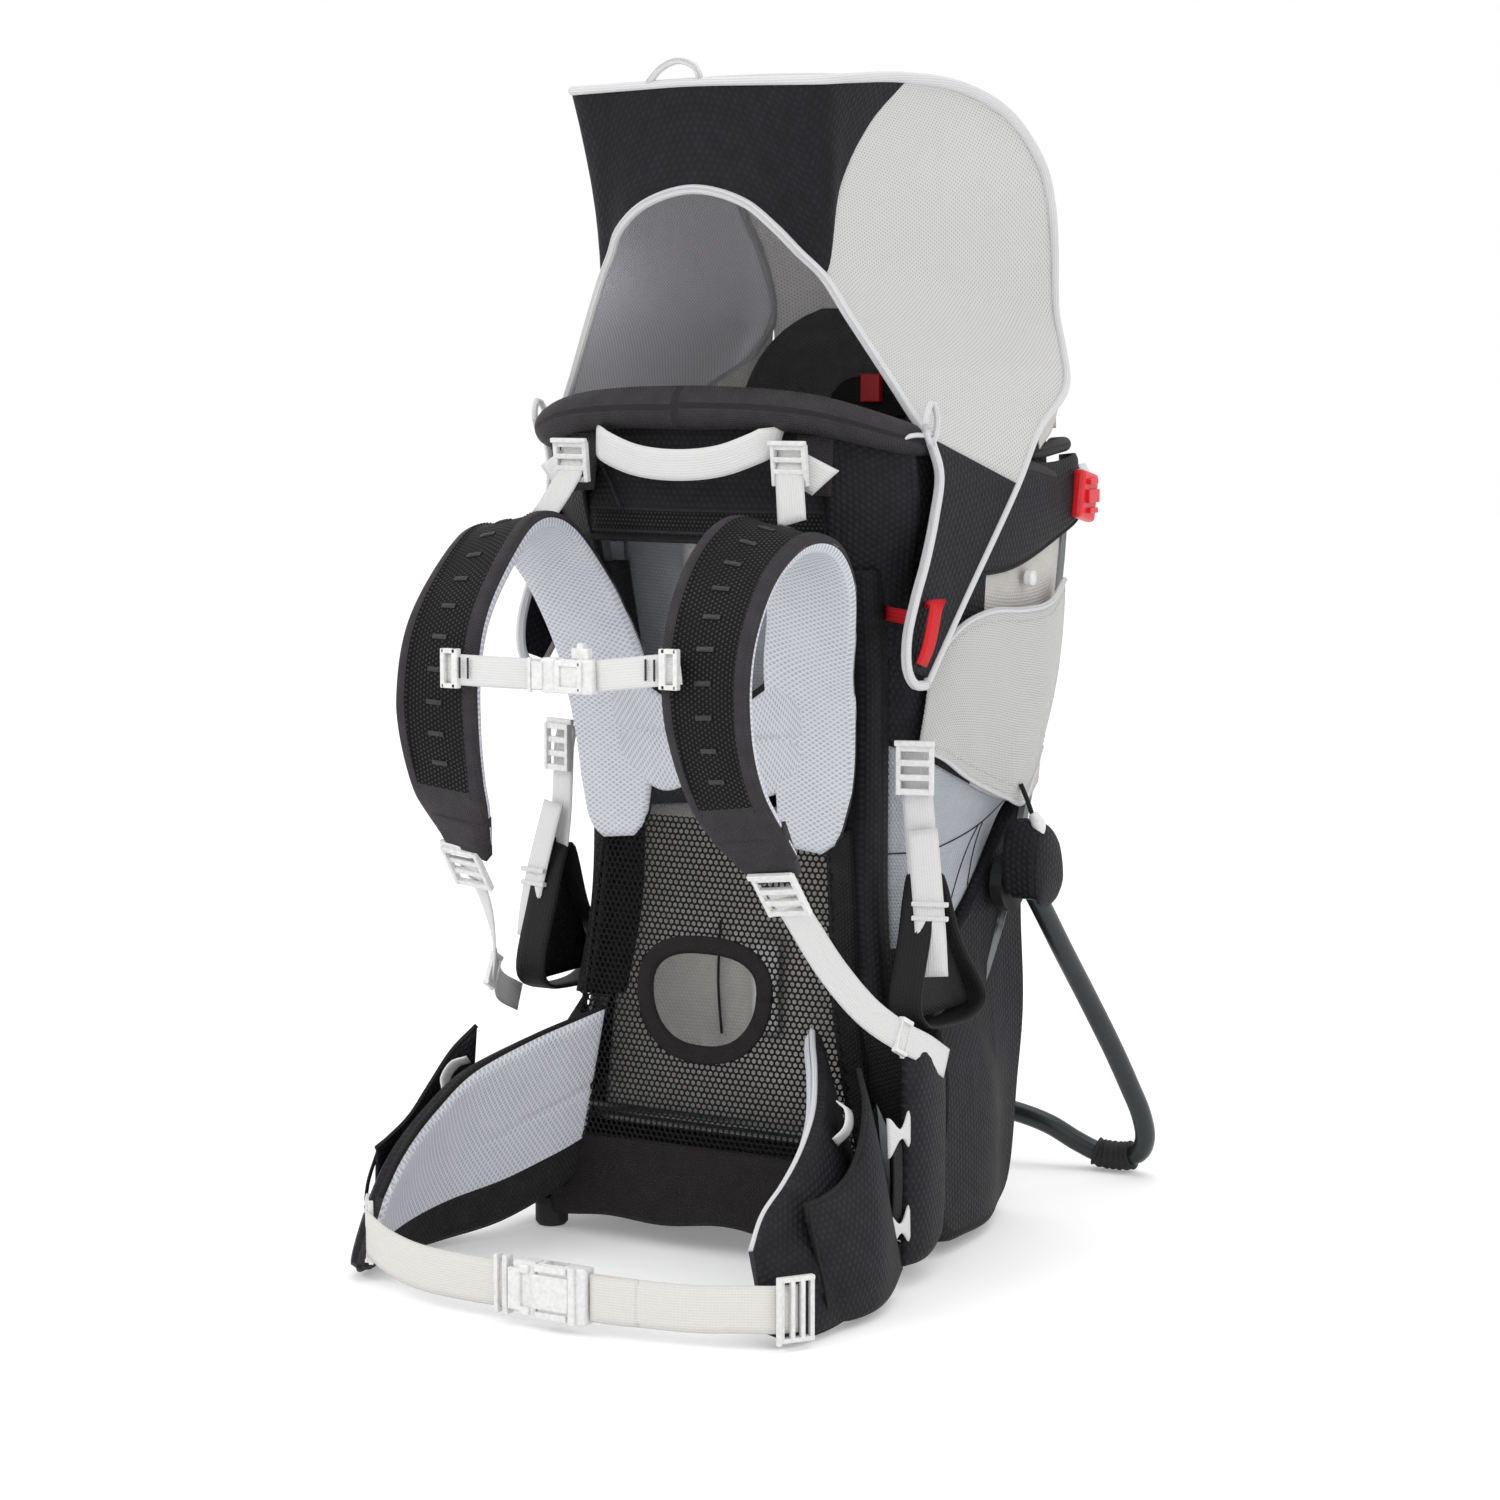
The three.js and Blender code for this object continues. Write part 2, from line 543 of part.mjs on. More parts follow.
// ---- sunshade ----
const HOOP = [[191, 24, 494], [191, 92, 560], [192, 190, 655], [191, 232, 700],
  [186, 296, 736], [160, 345, 770], [147, 356, 804], [152, 341, 860], [159, 318, 900],
  [158, 303, 930], [149, 262, 970], [141, 190, 992], [134, 90, 996], [128, 4, 990],
  [120, -28, 987]];
const hoopPath = curve([...HOOP, [60, -33, 988], [0, -36, 989], [-60, -33, 988],
  ...HOOP.map(([x, y, z]) => [-x, y, z]).reverse()]);
const topLoop = new THREE.TorusGeometry(11, 1.6, 6, 12).rotateX(Math.PI / 2)
  .scale(1.2, 1, 1).translate(-4, -36, 997);
add('shade_frame', join(tube(hoopPath, WIRE_R, 68, 6), topLoop), WEBBING);

const brim = curve([[-112, -20, 981], [-60, -28, 982], [0, -31, 983], [60, -28, 982],
  [112, -20, 981]]);
const arch = curve([[-105, -2, 834], [-75, -26, 872], [-40, -31, 895], [0, -32, 902],
  [40, -31, 895], [75, -26, 872], [105, -2, 834]]);
add('shade_visor', ruled(brim, arch, 12, 3, 2.4), BLACK);

const roofLine = curve([[0, -24, 992], [0, 60, 1001], [0, 150, 1001], [0, 236, 984],
  [0, 306, 932], [0, 342, 872], [0, 362, 820], [0, 367, 780], [0, 366, 744]]);
const ROOF_ROWS = [[0, 108], [0.2, 124], [0.45, 136], [0.6, 143], [0.72, 146], [0.85, 138],
  [1, 128]];
add('shade_roof', sheet((u, v) => {
  const p = roofLine.getPointAt(u);
  p.x = lerp(-1, 1, v) * table(ROOF_ROWS, u);
  return p;
}, 14, 3, 2.4), SHADE_MESH);

for (const [s, side] of SIDES) {
  const front = curve([[121, -14, 978], [114, -4, 906], [111, 2, 840], [142, 18, 772],
    [172, 36, 722], [190, 38, 686], [191, 28, 606], [191, 2, 540], [191, 6, 508]], s);
  const rear = curve([[131, 84, 988], [141, 232, 974], [152, 305, 910], [147, 334, 850],
    [156, 328, 778], [183, 280, 744], [190, 222, 706], [191, 182, 662], [191, 84, 568],
    [191, 22, 506]], s);
  add(`shade_side_${side}`, ruled(front, rear, 16, 4, 2.4), SHADE_MESH);
  add(`shade_pull_${side}`, strap(curve([[196, 10, 576], [198, 8, 550], [197, 6, 516]], s),
    14, 4, V(0, 1, 0), 4), RED);
}

export default group;
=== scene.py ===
"""Baby carrier backpack: fabric, mesh, padding, webbing and buckles over the CAD frame."""
import math
import bpy
import numpy as np
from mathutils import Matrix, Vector


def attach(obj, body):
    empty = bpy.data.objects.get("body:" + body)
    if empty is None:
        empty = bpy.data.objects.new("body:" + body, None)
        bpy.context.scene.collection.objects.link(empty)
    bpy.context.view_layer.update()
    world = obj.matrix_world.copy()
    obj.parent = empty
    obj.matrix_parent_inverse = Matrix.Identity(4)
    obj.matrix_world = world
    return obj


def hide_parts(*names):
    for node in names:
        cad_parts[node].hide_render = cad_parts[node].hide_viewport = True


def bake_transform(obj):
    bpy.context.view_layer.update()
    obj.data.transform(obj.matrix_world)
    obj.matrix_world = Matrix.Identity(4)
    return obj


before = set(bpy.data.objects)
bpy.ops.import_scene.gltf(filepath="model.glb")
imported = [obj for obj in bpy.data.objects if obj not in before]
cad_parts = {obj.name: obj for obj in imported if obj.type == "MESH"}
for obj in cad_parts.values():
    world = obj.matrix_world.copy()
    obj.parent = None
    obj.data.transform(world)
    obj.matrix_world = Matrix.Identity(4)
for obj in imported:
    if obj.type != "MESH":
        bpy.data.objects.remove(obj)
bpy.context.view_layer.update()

ORIGIN_Y = 81.7          # the CAD model's shift; all places below are in its millimetres
ROOT = "carrier"
SIDES = ((1, "l"), (-1, "r"))
Z_UP = (0, 0, 1)
X_OUT = (1, 0, 0)


# ---------- curves ----------
class Path:
    """A smooth curve through millimetre points, read by its share of length."""

    def __init__(self, points, side=1, closed=False):
        pts = np.array(points, float)
        pts[:, 0] *= side
        if closed:
            ends = [pts[-1:], pts, pts[:2]]
        else:
            ends = [2 * pts[:1] - pts[1:2], pts, 2 * pts[-1:] - pts[-2:-1]]
        knots = np.vstack(ends)
        dense = []
        for i in range(1, len(knots) - 2):
            p0, p1, p2, p3 = knots[i - 1:i + 3]
            d0 = max(np.linalg.norm(p1 - p0), 1e-6) ** 0.5
            d1 = max(np.linalg.norm(p2 - p1), 1e-6) ** 0.5
            d2 = max(np.linalg.norm(p3 - p2), 1e-6) ** 0.5
            m1 = ((p1 - p0) / d0 - (p2 - p0) / (d0 + d1) + (p2 - p1) / d1) * d1
            m2 = ((p2 - p1) / d1 - (p3 - p1) / (d1 + d2) + (p3 - p2) / d2) * d1
            t = np.linspace(0, 1, 16, endpoint=False)[:, None]
            dense.append((2 * t**3 - 3 * t**2 + 1) * p1 + (t**3 - 2 * t**2 + t) * m1
                         + (3 * t**2 - 2 * t**3) * p2 + (t**3 - t**2) * m2)
        dense.append(knots[-2:-1])
        self.points = np.vstack(dense)
        steps = np.linalg.norm(np.diff(self.points, axis=0), axis=1)
        self.share = np.concatenate([[0], np.cumsum(steps)])
        self.length = self.share[-1]
        self.share /= self.length

    def at(self, u):
        return np.array([np.interp(u, self.share, self.points[:, k]) for k in range(3)])

    def tangent(self, u):
        step = self.at(min(u + 0.004, 1)) - self.at(max(u - 0.004, 0))
        return step / np.linalg.norm(step)


def mirrored(half):
    """Points from the -X end to the +X end, from a list that starts on the middle plane."""
    left = [(-x, y, z) for x, y, z in reversed(half) if x]
    return left + list(half)


def rows(table, u):
    """Straight-line interpolation in a table of (u, value)."""
    return float(np.interp(u, [r[0] for r in table], [r[1] for r in table]))


def unit(v):
    v = np.array(v, float)
    return v / np.linalg.norm(v)


def mix(a, b, t):
    return a + (b - a) * t


# ---------- materials ----------
class Look:
    """A procedural material. Patterns are in millimetres of cloth, from the UV map."""

    def __init__(self, name, colour, rough, metal=0.0, sheen=0.0, shine=0.5, space="UV"):
        self.material = bpy.data.materials.new(name)
        self.material.use_nodes = True
        self.tree = self.material.node_tree
        self.shader = self.tree.nodes["Principled BSDF"]
        self.set("Base Color", (*colour, 1))
        self.set("Roughness", rough)
        self.set("Metallic", metal)
        self.set("Sheen Weight", sheen)
        self.set("Specular IOR Level", shine)
        self.colour = colour
        self.place = self.add("ShaderNodeTexCoord").outputs[space]

    def set(self, socket, value):
        self.shader.inputs[socket].default_value = value

    def add(self, kind, **values):
        node = self.tree.nodes.new(kind)
        for key, value in values.items():
            setattr(node, key, value)
        return node

    def link(self, a, b):
        self.tree.links.new(a, b)

    def math(self, operation, a, b=0.0):
        node = self.add("ShaderNodeMath", operation=operation)
        for socket, value in zip(node.inputs, (a, b)):
            if isinstance(value, (int, float)):
                socket.default_value = value
            else:
                self.link(value, socket)
        return node.outputs[0]

    def wave(self, angle, period, phase=0.0):
        """A cosine across the cloth, from -1 to 1, with its period in millimetres."""
        a = math.radians(angle)
        k = 2000 * math.pi / period
        dot = self.add("ShaderNodeVectorMath", operation="DOT_PRODUCT")
        self.link(self.place, dot.inputs[0])
        dot.inputs[1].default_value = (math.cos(a) * k, math.sin(a) * k, 0)
        return self.math("COSINE", self.math("ADD", dot.outputs["Value"], phase))

    def noise(self, scale, detail=3.0):
        node = self.add("ShaderNodeTexNoise")
        self.link(self.place, node.inputs["Vector"])
        node.inputs["Scale"].default_value = scale
        node.inputs["Detail"].default_value = detail
        return node.outputs["Fac"]

    def ramp(self, value, low, high, to_low=0.0, to_high=1.0):
        node = self.add("ShaderNodeMapRange")
        self.link(value, node.inputs["Value"])
        for name, number in (("From Min", low), ("From Max", high), ("To Min", to_low),
                             ("To Max", to_high)):
            node.inputs[name].default_value = number
        return node.outputs["Result"]

    def tint(self, value, other):
        """Mixes the colour towards another where value is 1."""
        node = self.add("ShaderNodeMix", data_type="RGBA")
        self.link(value, node.inputs[0])
        node.inputs[6].default_value = (*self.colour, 1)
        node.inputs[7].default_value = (*other, 1)
        self.link(node.outputs[2], self.shader.inputs["Base Color"])
        return self

    def bump(self, height, millimetres, strength=1.0):
        node = self.add("ShaderNodeBump")
        self.link(height, node.inputs["Height"])
        node.inputs["Distance"].default_value = millimetres / 1000
        node.inputs["Strength"].default_value = strength
        self.link(node.outputs["Normal"], self.shader.inputs["Normal"])
        return self

    def see_through(self, value):
        self.link(value, self.shader.inputs["Alpha"])
        return self

    def honeycomb(self, period):
        total = self.math("ADD", self.wave(0, period), self.wave(60, period))
        return self.math("ADD", total, self.wave(120, period))

    def weave(self, period):
        return self.math("MULTIPLY", self.wave(0, period), self.wave(90, period))


def nylon(name, colour, light, cell=5.2):
    """Black pack cloth: a fine weave with a faint pressed honeycomb."""
    look = Look(name, colour, 0.62, shine=0.16)
    cells = look.honeycomb(cell)
    soft = look.math("MULTIPLY", look.noise(60), look.ramp(cells, -1.5, 3.0, 0.35, 1.0))
    look.tint(look.ramp(soft, 0.15, 0.6), light)
    fine = look.math("MULTIPLY", look.weave(1.3), 0.3)
    folds = look.math("MULTIPLY", look.noise(14, 2), 5.0)
    height = look.math("ADD", look.math("ADD", cells, fine), folds)
    return look.bump(height, 0.28, 0.7).material


def spacer(name, colour, dark, cell=6.4):
    """Padded spacer mesh: a raised diamond net over hollows darkened with painted shade, in random
    patches.
    """
    look = Look(name, colour, 0.85, sheen=0.1, shine=0.2)
    a = look.math("ABSOLUTE", look.wave(58, cell))
    b = look.math("ABSOLUTE", look.wave(-58, cell))
    net = look.math("POWER", look.math("MAXIMUM", a, b), 5.0)
    pits = look.math("MULTIPLY", look.weave(1.5), 0.15)
    # painted shade: the hollows between the raised net take the darker colour, patchy at random
    hollow_shade = look.ramp(net, 0.1, 0.9, 1.0, 0.0)
    patchy = look.ramp(look.noise(30), 0.2, 0.8, 0.6, 1)
    look.tint(look.math("MULTIPLY", hollow_shade, patchy), dark)
    return look.bump(look.math("ADD", net, pits), 0.6, 0.8).material


def webbing(name, colour, dark, rib=1.6):
    """Woven webbing: ribs along the length, crossed by the weft."""
    look = Look(name, colour, 0.62, shine=0.2)
    ribs = look.math("ADD", look.wave(0, rib * 2), look.wave(90, rib))
    grain = look.math("ADD", ribs, look.math("MULTIPLY", look.noise(500, 2), 1.2))
    look.tint(look.ramp(grain, 2.2, -1.6), dark)
    return look.bump(grain, 0.16, 0.7).material


def netting(name, colour, dark, pitch, cover, hole):
    """Perforated mesh: rows of small holes, with light passing through."""
    look = Look(name, colour, 0.7, shine=0.15)
    dots = look.honeycomb(pitch)
    # the holes take the second colour: painted shade in the holes on the light nets, the lighter cloth
    # under the mesh on the black strap net
    hole_underlay_and_shade = look.ramp(dots, 0.8, 2.4)
    patchy = look.ramp(look.noise(22), 0.3, 0.7, 0.5, 1.0)
    look.tint(look.math("MULTIPLY", hole_underlay_and_shade, patchy), dark)
    look.see_through(look.ramp(dots, 1.0, 2.6, cover, hole))
    return look.bump(dots, -0.2, 0.5).material


def plastic(name, colour, rough, grain=0.05, metal=0.0):
    look = Look(name, colour, rough, metal=metal, space="Object")
    mottle = look.noise(260, 4)
    deeper = tuple(c * 0.82 for c in colour)
    look.tint(look.ramp(mottle, 0.35, 0.75), deeper)
    return look.bump(mottle, grain, 0.6).material


BLACK = nylon("black_nylon", (0.0095, 0.0095, 0.011), (0.021, 0.021, 0.024))
SOFT_BLACK = nylon("soft_black", (0.0115, 0.0105, 0.0115), (0.024, 0.022, 0.023), 3.2)
VISOR = nylon("visor_black", (0.0070, 0.0072, 0.0095), (0.015, 0.015, 0.019), 6.0)
CHARCOAL = nylon("charcoal_knit", (0.029, 0.026, 0.029), (0.052, 0.047, 0.051), 2.2)
# painted light: a lighter copy of the charcoal cloth, for the head panel's face in the shade under the
# hood
HEAD_PAINTED_LIGHT = nylon("head_painted_light", (0.075, 0.075, 0.077), (0.11, 0.11, 0.112), 3.0)
BROWN = nylon("lumbar_brown", (0.0125, 0.0098, 0.0105), (0.022, 0.018, 0.019), 2.0)
# the spacer's darker colour is painted shade for its hollows
SPACER = spacer("spacer_mesh", (0.66, 0.67, 0.72), (0.36, 0.37, 0.42), 7.6)
LINING = nylon("grey_lining", (0.38, 0.40, 0.44), (0.46, 0.48, 0.52), 3.0)
WARM = nylon("warm_lining", (0.52, 0.50, 0.48), (0.60, 0.58, 0.56), 3.0)
WEB = webbing("light_webbing", (0.72, 0.72, 0.715), (0.60, 0.60, 0.60), 1.1)
BELT = webbing("belt_webbing", (0.72, 0.705, 0.675), (0.60, 0.585, 0.555), 1.1)
BLACK_WEB = webbing("black_webbing", (0.016, 0.016, 0.017), (0.006, 0.006, 0.006))
RED_WEB = webbing("red_webbing", (0.66, 0.016, 0.022), (0.40, 0.008, 0.012))
PIPING = webbing("light_piping", (0.72, 0.72, 0.73), (0.5, 0.5, 0.51), 1.1)
# each net's second colour fills its holes: painted shade on the light nets, the cloth under the mesh on
# the strap net
SHADE_NET = netting("shade_net", (0.60, 0.595, 0.59), (0.42, 0.415, 0.41), 3.1, 0.92, 0.35)
REAR_NET = netting("rear_net", (0.58, 0.565, 0.545), (0.44, 0.43, 0.415), 3.1, 0.92, 0.5)
# painted light: a far lighter copy of the rear mesh for the roof's inner face, standing for light through
# the mesh into the shaded hood
ROOF_INSIDE_PAINTED_LIGHT = netting("roof_inside_painted_light", (0.90, 0.88, 0.86), (0.74, 0.72, 0.70), 3.1, 0.90, 0.5)
# painted light: a lighter, bluer copy of the shade mesh for the hood's inner faces, standing for light
# through the mesh into the shaded hood
INNER_NET_PAINTED_LIGHT = netting("inner_net_painted_light", (0.80, 0.79, 0.86), (0.62, 0.61, 0.68), 3.1, 0.80, 0.35)
POCKET_NET = netting("pocket_net", (0.56, 0.56, 0.55), (0.34, 0.34, 0.335), 2.2, 0.90, 0.35)
STRAP_NET = netting("strap_net", (0.0035, 0.0035, 0.0035), (0.055, 0.055, 0.055), 3.4, 1.0, 1.0)
HEX_NET = Look("hex_net", (0.0065, 0.0065, 0.007), 0.6, shine=0.2, space="Object").material
BUCKLE = plastic("light_buckle", (0.72, 0.72, 0.715), 0.38)
RED = plastic("red_plastic", (0.68, 0.012, 0.02), 0.35)
DARK_PLASTIC = plastic("dark_plastic", (0.012, 0.012, 0.013), 0.45)
RUBBER = plastic("black_rubber", (0.010, 0.010, 0.010), 0.75, 0.12)
STAND = plastic("stand_paint", (0.033, 0.038, 0.039), 0.33, 0.02, 0.55)
ALLOY = plastic("frame_alloy", (0.20, 0.21, 0.215), 0.3, 0.02, 0.9)


# ---------- meshes ----------
def make(name, points, faces, materials, uvs, body, slots=None, smooth=True):
    """A mesh piece from millimetre points; uvs has one (across, along) in metres per point."""
    metres = (np.array(points, float) - (0, ORIGIN_Y, 0)) * 0.001
    data = bpy.data.meshes.new(name)
    data.from_pydata(metres.tolist(), [], faces)
    for material in materials:
        data.materials.append(material)
    data.polygons.foreach_set("material_index", slots or [0] * len(faces))
    layer = data.uv_layers.new(name="UVMap")
    corner = np.empty(len(data.loops), int)
    data.loops.foreach_get("vertex_index", corner)
    layer.data.foreach_set("uv", np.array(uvs, float)[corner].ravel())
    data.polygons.foreach_set("use_smooth", [smooth] * len(data.polygons))
    data.update()
    piece = bpy.data.objects.new(name, data)
    bpy.context.scene.collection.objects.link(piece)
    if body:
        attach(piece, body)
    return piece


def lofted(rings, sides, closed=False, flip=False):
    """The faces round a row of rings, with an end cap on each end unless the row is closed."""
    faces = []
    for i in range(rings if closed else rings - 1):
        here, after = i * sides, (i + 1) % rings * sides
        for j in range(sides):
            k = (j + 1) % sides
            quad = (here + j, here + k, after + k, after + j)
            faces.append(quad[:1] + quad[:0:-1] if flip else quad)
    if not closed:
        last = (rings - 1) * sides
        for cap in (range(sides - 1, -1, -1), range(last, last + sides)):
            faces.append(tuple(reversed(cap) if flip else cap))
    return faces


def beside(tangent):
    """A direction square to a tangent."""
    return unit(np.cross(tangent, np.array(Z_UP if abs(tangent[2]) < 0.9 else X_OUT, float)))


class Pad:
    """A soft panel about a middle surface mid(u, v): crowned, with its own front and back."""

    def __init__(self, name, mid, counts, thick, front, back=None, edge=None, power=5.0, rim=0.3,
                 relief=None, zone=None, body=ROOT):
        self.mid = mid
        self.thick = thick
        self.power = power
        self.rim = rim
        self.relief = relief
        nu, nv = counts
        us = np.linspace(0, 1, nu + 1)
        vs = np.linspace(0, 1, nv + 1)
        grid = np.array([[mid(u, v) for v in vs] for u in us])
        along = np.linalg.norm(np.diff(grid[:, nv // 2], axis=0), axis=1)
        wide = np.linalg.norm(np.diff(grid, axis=1), axis=2)
        run = np.concatenate([[0], np.cumsum(along)])
        cross = np.concatenate([np.zeros((nu + 1, 1)), np.cumsum(wide, axis=1)], axis=1)
        cross -= cross[:, -1:] / 2
        uv = np.stack([cross, np.repeat(run[:, None], nv + 1, axis=1)], axis=2) / 1000
        du = np.gradient(grid, axis=0)
        dv = np.gradient(grid, axis=1)
        normal = np.cross(du, dv)
        normal /= np.maximum(np.linalg.norm(normal, axis=2, keepdims=True), 1e-9)
        half = np.array([[self.half(u, v) for v in vs] for u in us])[:, :, None]
        lift = np.zeros_like(half)
        if relief:
            lift = np.array([[relief(u, v) for v in vs] for u in us])[:, :, None]
        top = grid + normal * (half + lift)
        low = grid - normal * half
        points = np.concatenate([top.reshape(-1, 3), low.reshape(-1, 3)])
        uvs = np.concatenate([uv.reshape(-1, 2), uv.reshape(-1, 2)])
        n = (nu + 1) * (nv + 1)
        faces, slots = [], []
        materials = [front, back or front, edge or back or front]
        if zone:
            materials += zone[0]

        def spot(i, j):
            return i * (nv + 1) + j

        for i in range(nu):
            for j in range(nv):
                a, b, c, d = spot(i, j), spot(i + 1, j), spot(i + 1, j + 1), spot(i, j + 1)
                faces += [(a, b, c, d), (n + a, n + d, n + c, n + b)]
                pick = zone[1]((i + 0.5) / nu, (j + 0.5) / nv) if zone else None
                slots += [0 if pick is None else 3 + pick, 1]
        loop = [spot(i, 0) for i in range(nu)] + [spot(nu, j) for j in range(nv)]
        loop += [spot(i, nv) for i in range(nu, 0, -1)] + [spot(0, j) for j in range(nv, 0, -1)]
        for a, b in zip(loop, loop[1:] + loop[:1]):
            faces.append((a, n + a, n + b, b))
            slots.append(2)
        self.piece = make(name, points, faces, materials, uvs, body, slots)

    def half(self, u, v):
        thick = self.thick(u, v) if callable(self.thick) else self.thick
        fall = 1.0
        for t in (u, v):
            fall *= max(1 - abs(2 * t - 1) ** self.power, 0) ** (1 / self.power)
        return thick / 2 * (self.rim + (1 - self.rim) * fall)

    def surface(self, u, v, lift=0.0):
        """A point lift millimetres off the front, and the normal there."""
        e = 0.004
        du = self.mid(min(u + e, 1), v) - self.mid(max(u - e, 0), v)
        dv = self.mid(u, min(v + e, 1)) - self.mid(u, max(v - e, 0))
        normal = unit(np.cross(du, dv))
        rise = self.half(u, v) + (self.relief(u, v) if self.relief else 0)
        return self.mid(u, v) + normal * (rise + lift), normal

    def cut(self):
        """The flat size of the panel in metres: its mean width and length."""
        shares = np.linspace(0, 1, 9)
        long = np.mean([hem(self.mid, v, 9).length for v in shares])
        wide = np.mean([Path([self.mid(u, v) for v in shares]).length for u in shares])
        return wide / 1000, long / 1000

    def line(self, places, lift=0.0):
        """A path over the front through (u, v) places."""
        (u0, v0), (u1, v1) = places[0], places[-1]
        spots = places
        if len(places) == 2:
            spots = [(mix(u0, u1, t), mix(v0, v1, t)) for t in np.linspace(0, 1, 14)]
        return Path([self.surface(u, v, lift)[0] for u, v in spots])


def cloth(name, mid, counts, material, thick=1.6, back=None, body=ROOT, zone=None):
    """A thin even panel."""
    return Pad(name, mid, counts, thick, material, back, power=60.0, rim=1.0, body=body, zone=zone)


def ruled(a, b, bulge=0.0, out=X_OUT):
    """The surface between two paths, swelling by bulge millimetres along out."""
    out = np.array(out, float)

    def mid(u, v):
        swell = bulge * math.sin(math.pi * v) * math.sin(math.pi * u)
        return mix(a.at(u), b.at(u), v) + out * swell
    return mid


def turned(mid, swap):
    """The same surface, with its front and back swapped where swap is true."""
    return (lambda u, v: mid(u, 1 - v)) if swap else mid


def hem(mid, v, count, offset=(0, 0, 0)):
    """A path along the surface mid at one v, moved by offset."""
    return Path([mid(u, v) + offset for u in np.linspace(0, 1, count)])


def strip(path, width, across):
    """The surface of a strap along a path; across is the direction of its width."""
    def mid(u, v):
        tangent = path.tangent(u)
        guide = np.array(across(u) if callable(across) else across, float)
        normal = unit(np.cross(tangent, guide))
        wide = unit(np.cross(normal, tangent))
        span = width(u) if callable(width) else width
        return path.at(u) + wide * span * (v - 0.5)
    return mid


def belt(name, path, width, across, material, body=ROOT, thick=2.4, steps=None):
    """A length of webbing."""
    count = steps or max(8, int(path.length / 7))
    return Pad(name, strip(path, width, across), (count, 6), thick, material, power=9.0, rim=0.45,
               body=body)


def tube(name, path, radius, material, body=ROOT, sides=12, steps=None, closed=False):
    """A round cord, roll or tube along a path; radius may be a function of u."""
    count = steps or max(8, int(path.length / 6))
    points, uvs = [], []
    rings = count if closed else count + 1
    normal = beside(path.tangent(0))
    for i in range(rings):
        u = i / count
        tangent = path.tangent(u)
        normal = unit(normal - tangent * np.dot(normal, tangent))
        other = np.cross(tangent, normal)
        r = radius(u) if callable(radius) else radius
        for j in range(sides):
            a = 2 * math.pi * j / sides
            points.append(path.at(u) + r * (normal * math.cos(a) + other * math.sin(a)))
            uvs.append((a * r / 1000, u * path.length / 1000))
    return make(name, points, lofted(rings, sides, closed), [material], uvs, body)


def stitches(name, path, material, body=ROOT, pitch=5.0, stitch=3.0, radius=0.42):
    """A row of separate stitches along a path."""
    points, faces, uvs = [], [], []
    count = max(2, int(path.length / pitch))
    for i in range(count):
        u0 = (i + 0.2) / count
        u1 = u0 + stitch / path.length
        a, b = path.at(u0), path.at(min(u1, 1))
        tangent = unit(b - a)
        n1 = beside(tangent)
        n2 = np.cross(tangent, n1)
        base = len(points)
        for end, grow in ((a, 0.5), (mix(a, b, 0.3), 1.0), (mix(a, b, 0.7), 1.0), (b, 0.5)):
            for k in range(5):
                t = 2 * math.pi * k / 5
                points.append(end + radius * grow * (n1 * math.cos(t) + n2 * math.sin(t)))
                uvs.append((k * 0.0005, u0 * path.length / 1000))
        faces += [tuple(base + corner for corner in face) for face in lofted(4, 5)]
    return make(name, points, faces, [material], uvs, body)


def blocks(name, boxes, centre, material, right=X_OUT, up=Z_UP, body=ROOT, bevel=0.9):
    """Moulded bars: boxes are (centre, size) along right, out and up."""
    right = unit(right)
    up = unit(np.array(up, float) - right * np.dot(up, right))
    out = np.cross(right, up)
    points, faces = [], []
    for middle, size in boxes:
        base = len(points)
        for dx in (-0.5, 0.5):
            for dy in (-0.5, 0.5):
                for dz in (-0.5, 0.5):
                    local = np.array(middle) + np.array(size) * (dx, dy, dz)
                    points.append(np.array(centre, float) + right * local[0]
                                  + out * local[1] + up * local[2])
        for quad in ((0, 1, 3, 2), (4, 6, 7, 5), (0, 4, 5, 1), (2, 3, 7, 6), (0, 2, 6, 4),
                     (1, 5, 7, 3)):
            faces.append(tuple(base + q for q in quad))
    uvs = [(p[0] / 1000, p[2] / 1000) for p in points]
    piece = make(name, points, faces, [material], uvs, body, smooth=False)
    soften(piece, bevel)
    return piece


def soften(piece, millimetres):
    bevel = piece.modifiers.new("edges", "BEVEL")
    bevel.width = millimetres / 1000
    bevel.segments = 3
    bevel.limit_method = "ANGLE"
    bevel.harden_normals = False
    for polygon in piece.data.polygons:
        polygon.use_smooth = True
    smooth = piece.modifiers.new("normals", "WEIGHTED_NORMAL")
    smooth.keep_sharp = False


def ladder(name, centre, right, up, width, height, body=ROOT):
    """A ladder lock: two cheeks, four bars and a lifted lip."""
    bar = height * 0.13
    boxes = [((k * (width / 2 - 2), 0, 0), (4, 6, height)) for k in (-1, 1)]
    for i, lift in enumerate((0.0, 1.4, 1.4, 0.0)):
        z = -height / 2 + bar / 2 + i * (height - bar) / 3
        boxes.append(((0, lift, z), (width - 4, 4.4, bar)))
    boxes.append(((0, 2.6, height / 2 + 1.5), (width + 2, 4.4, bar * 0.9)))
    return blocks(name, boxes, centre, BUCKLE, right, up, body)


def keep(node, material, bevel=0.0):
    """A CAD node that stays in view, with a finished material and softened edges."""
    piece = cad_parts[node]
    for slot in piece.material_slots:
        slot.material = material
    if not piece.material_slots:
        piece.data.materials.append(material)
    if bevel:
        soften(piece, bevel)


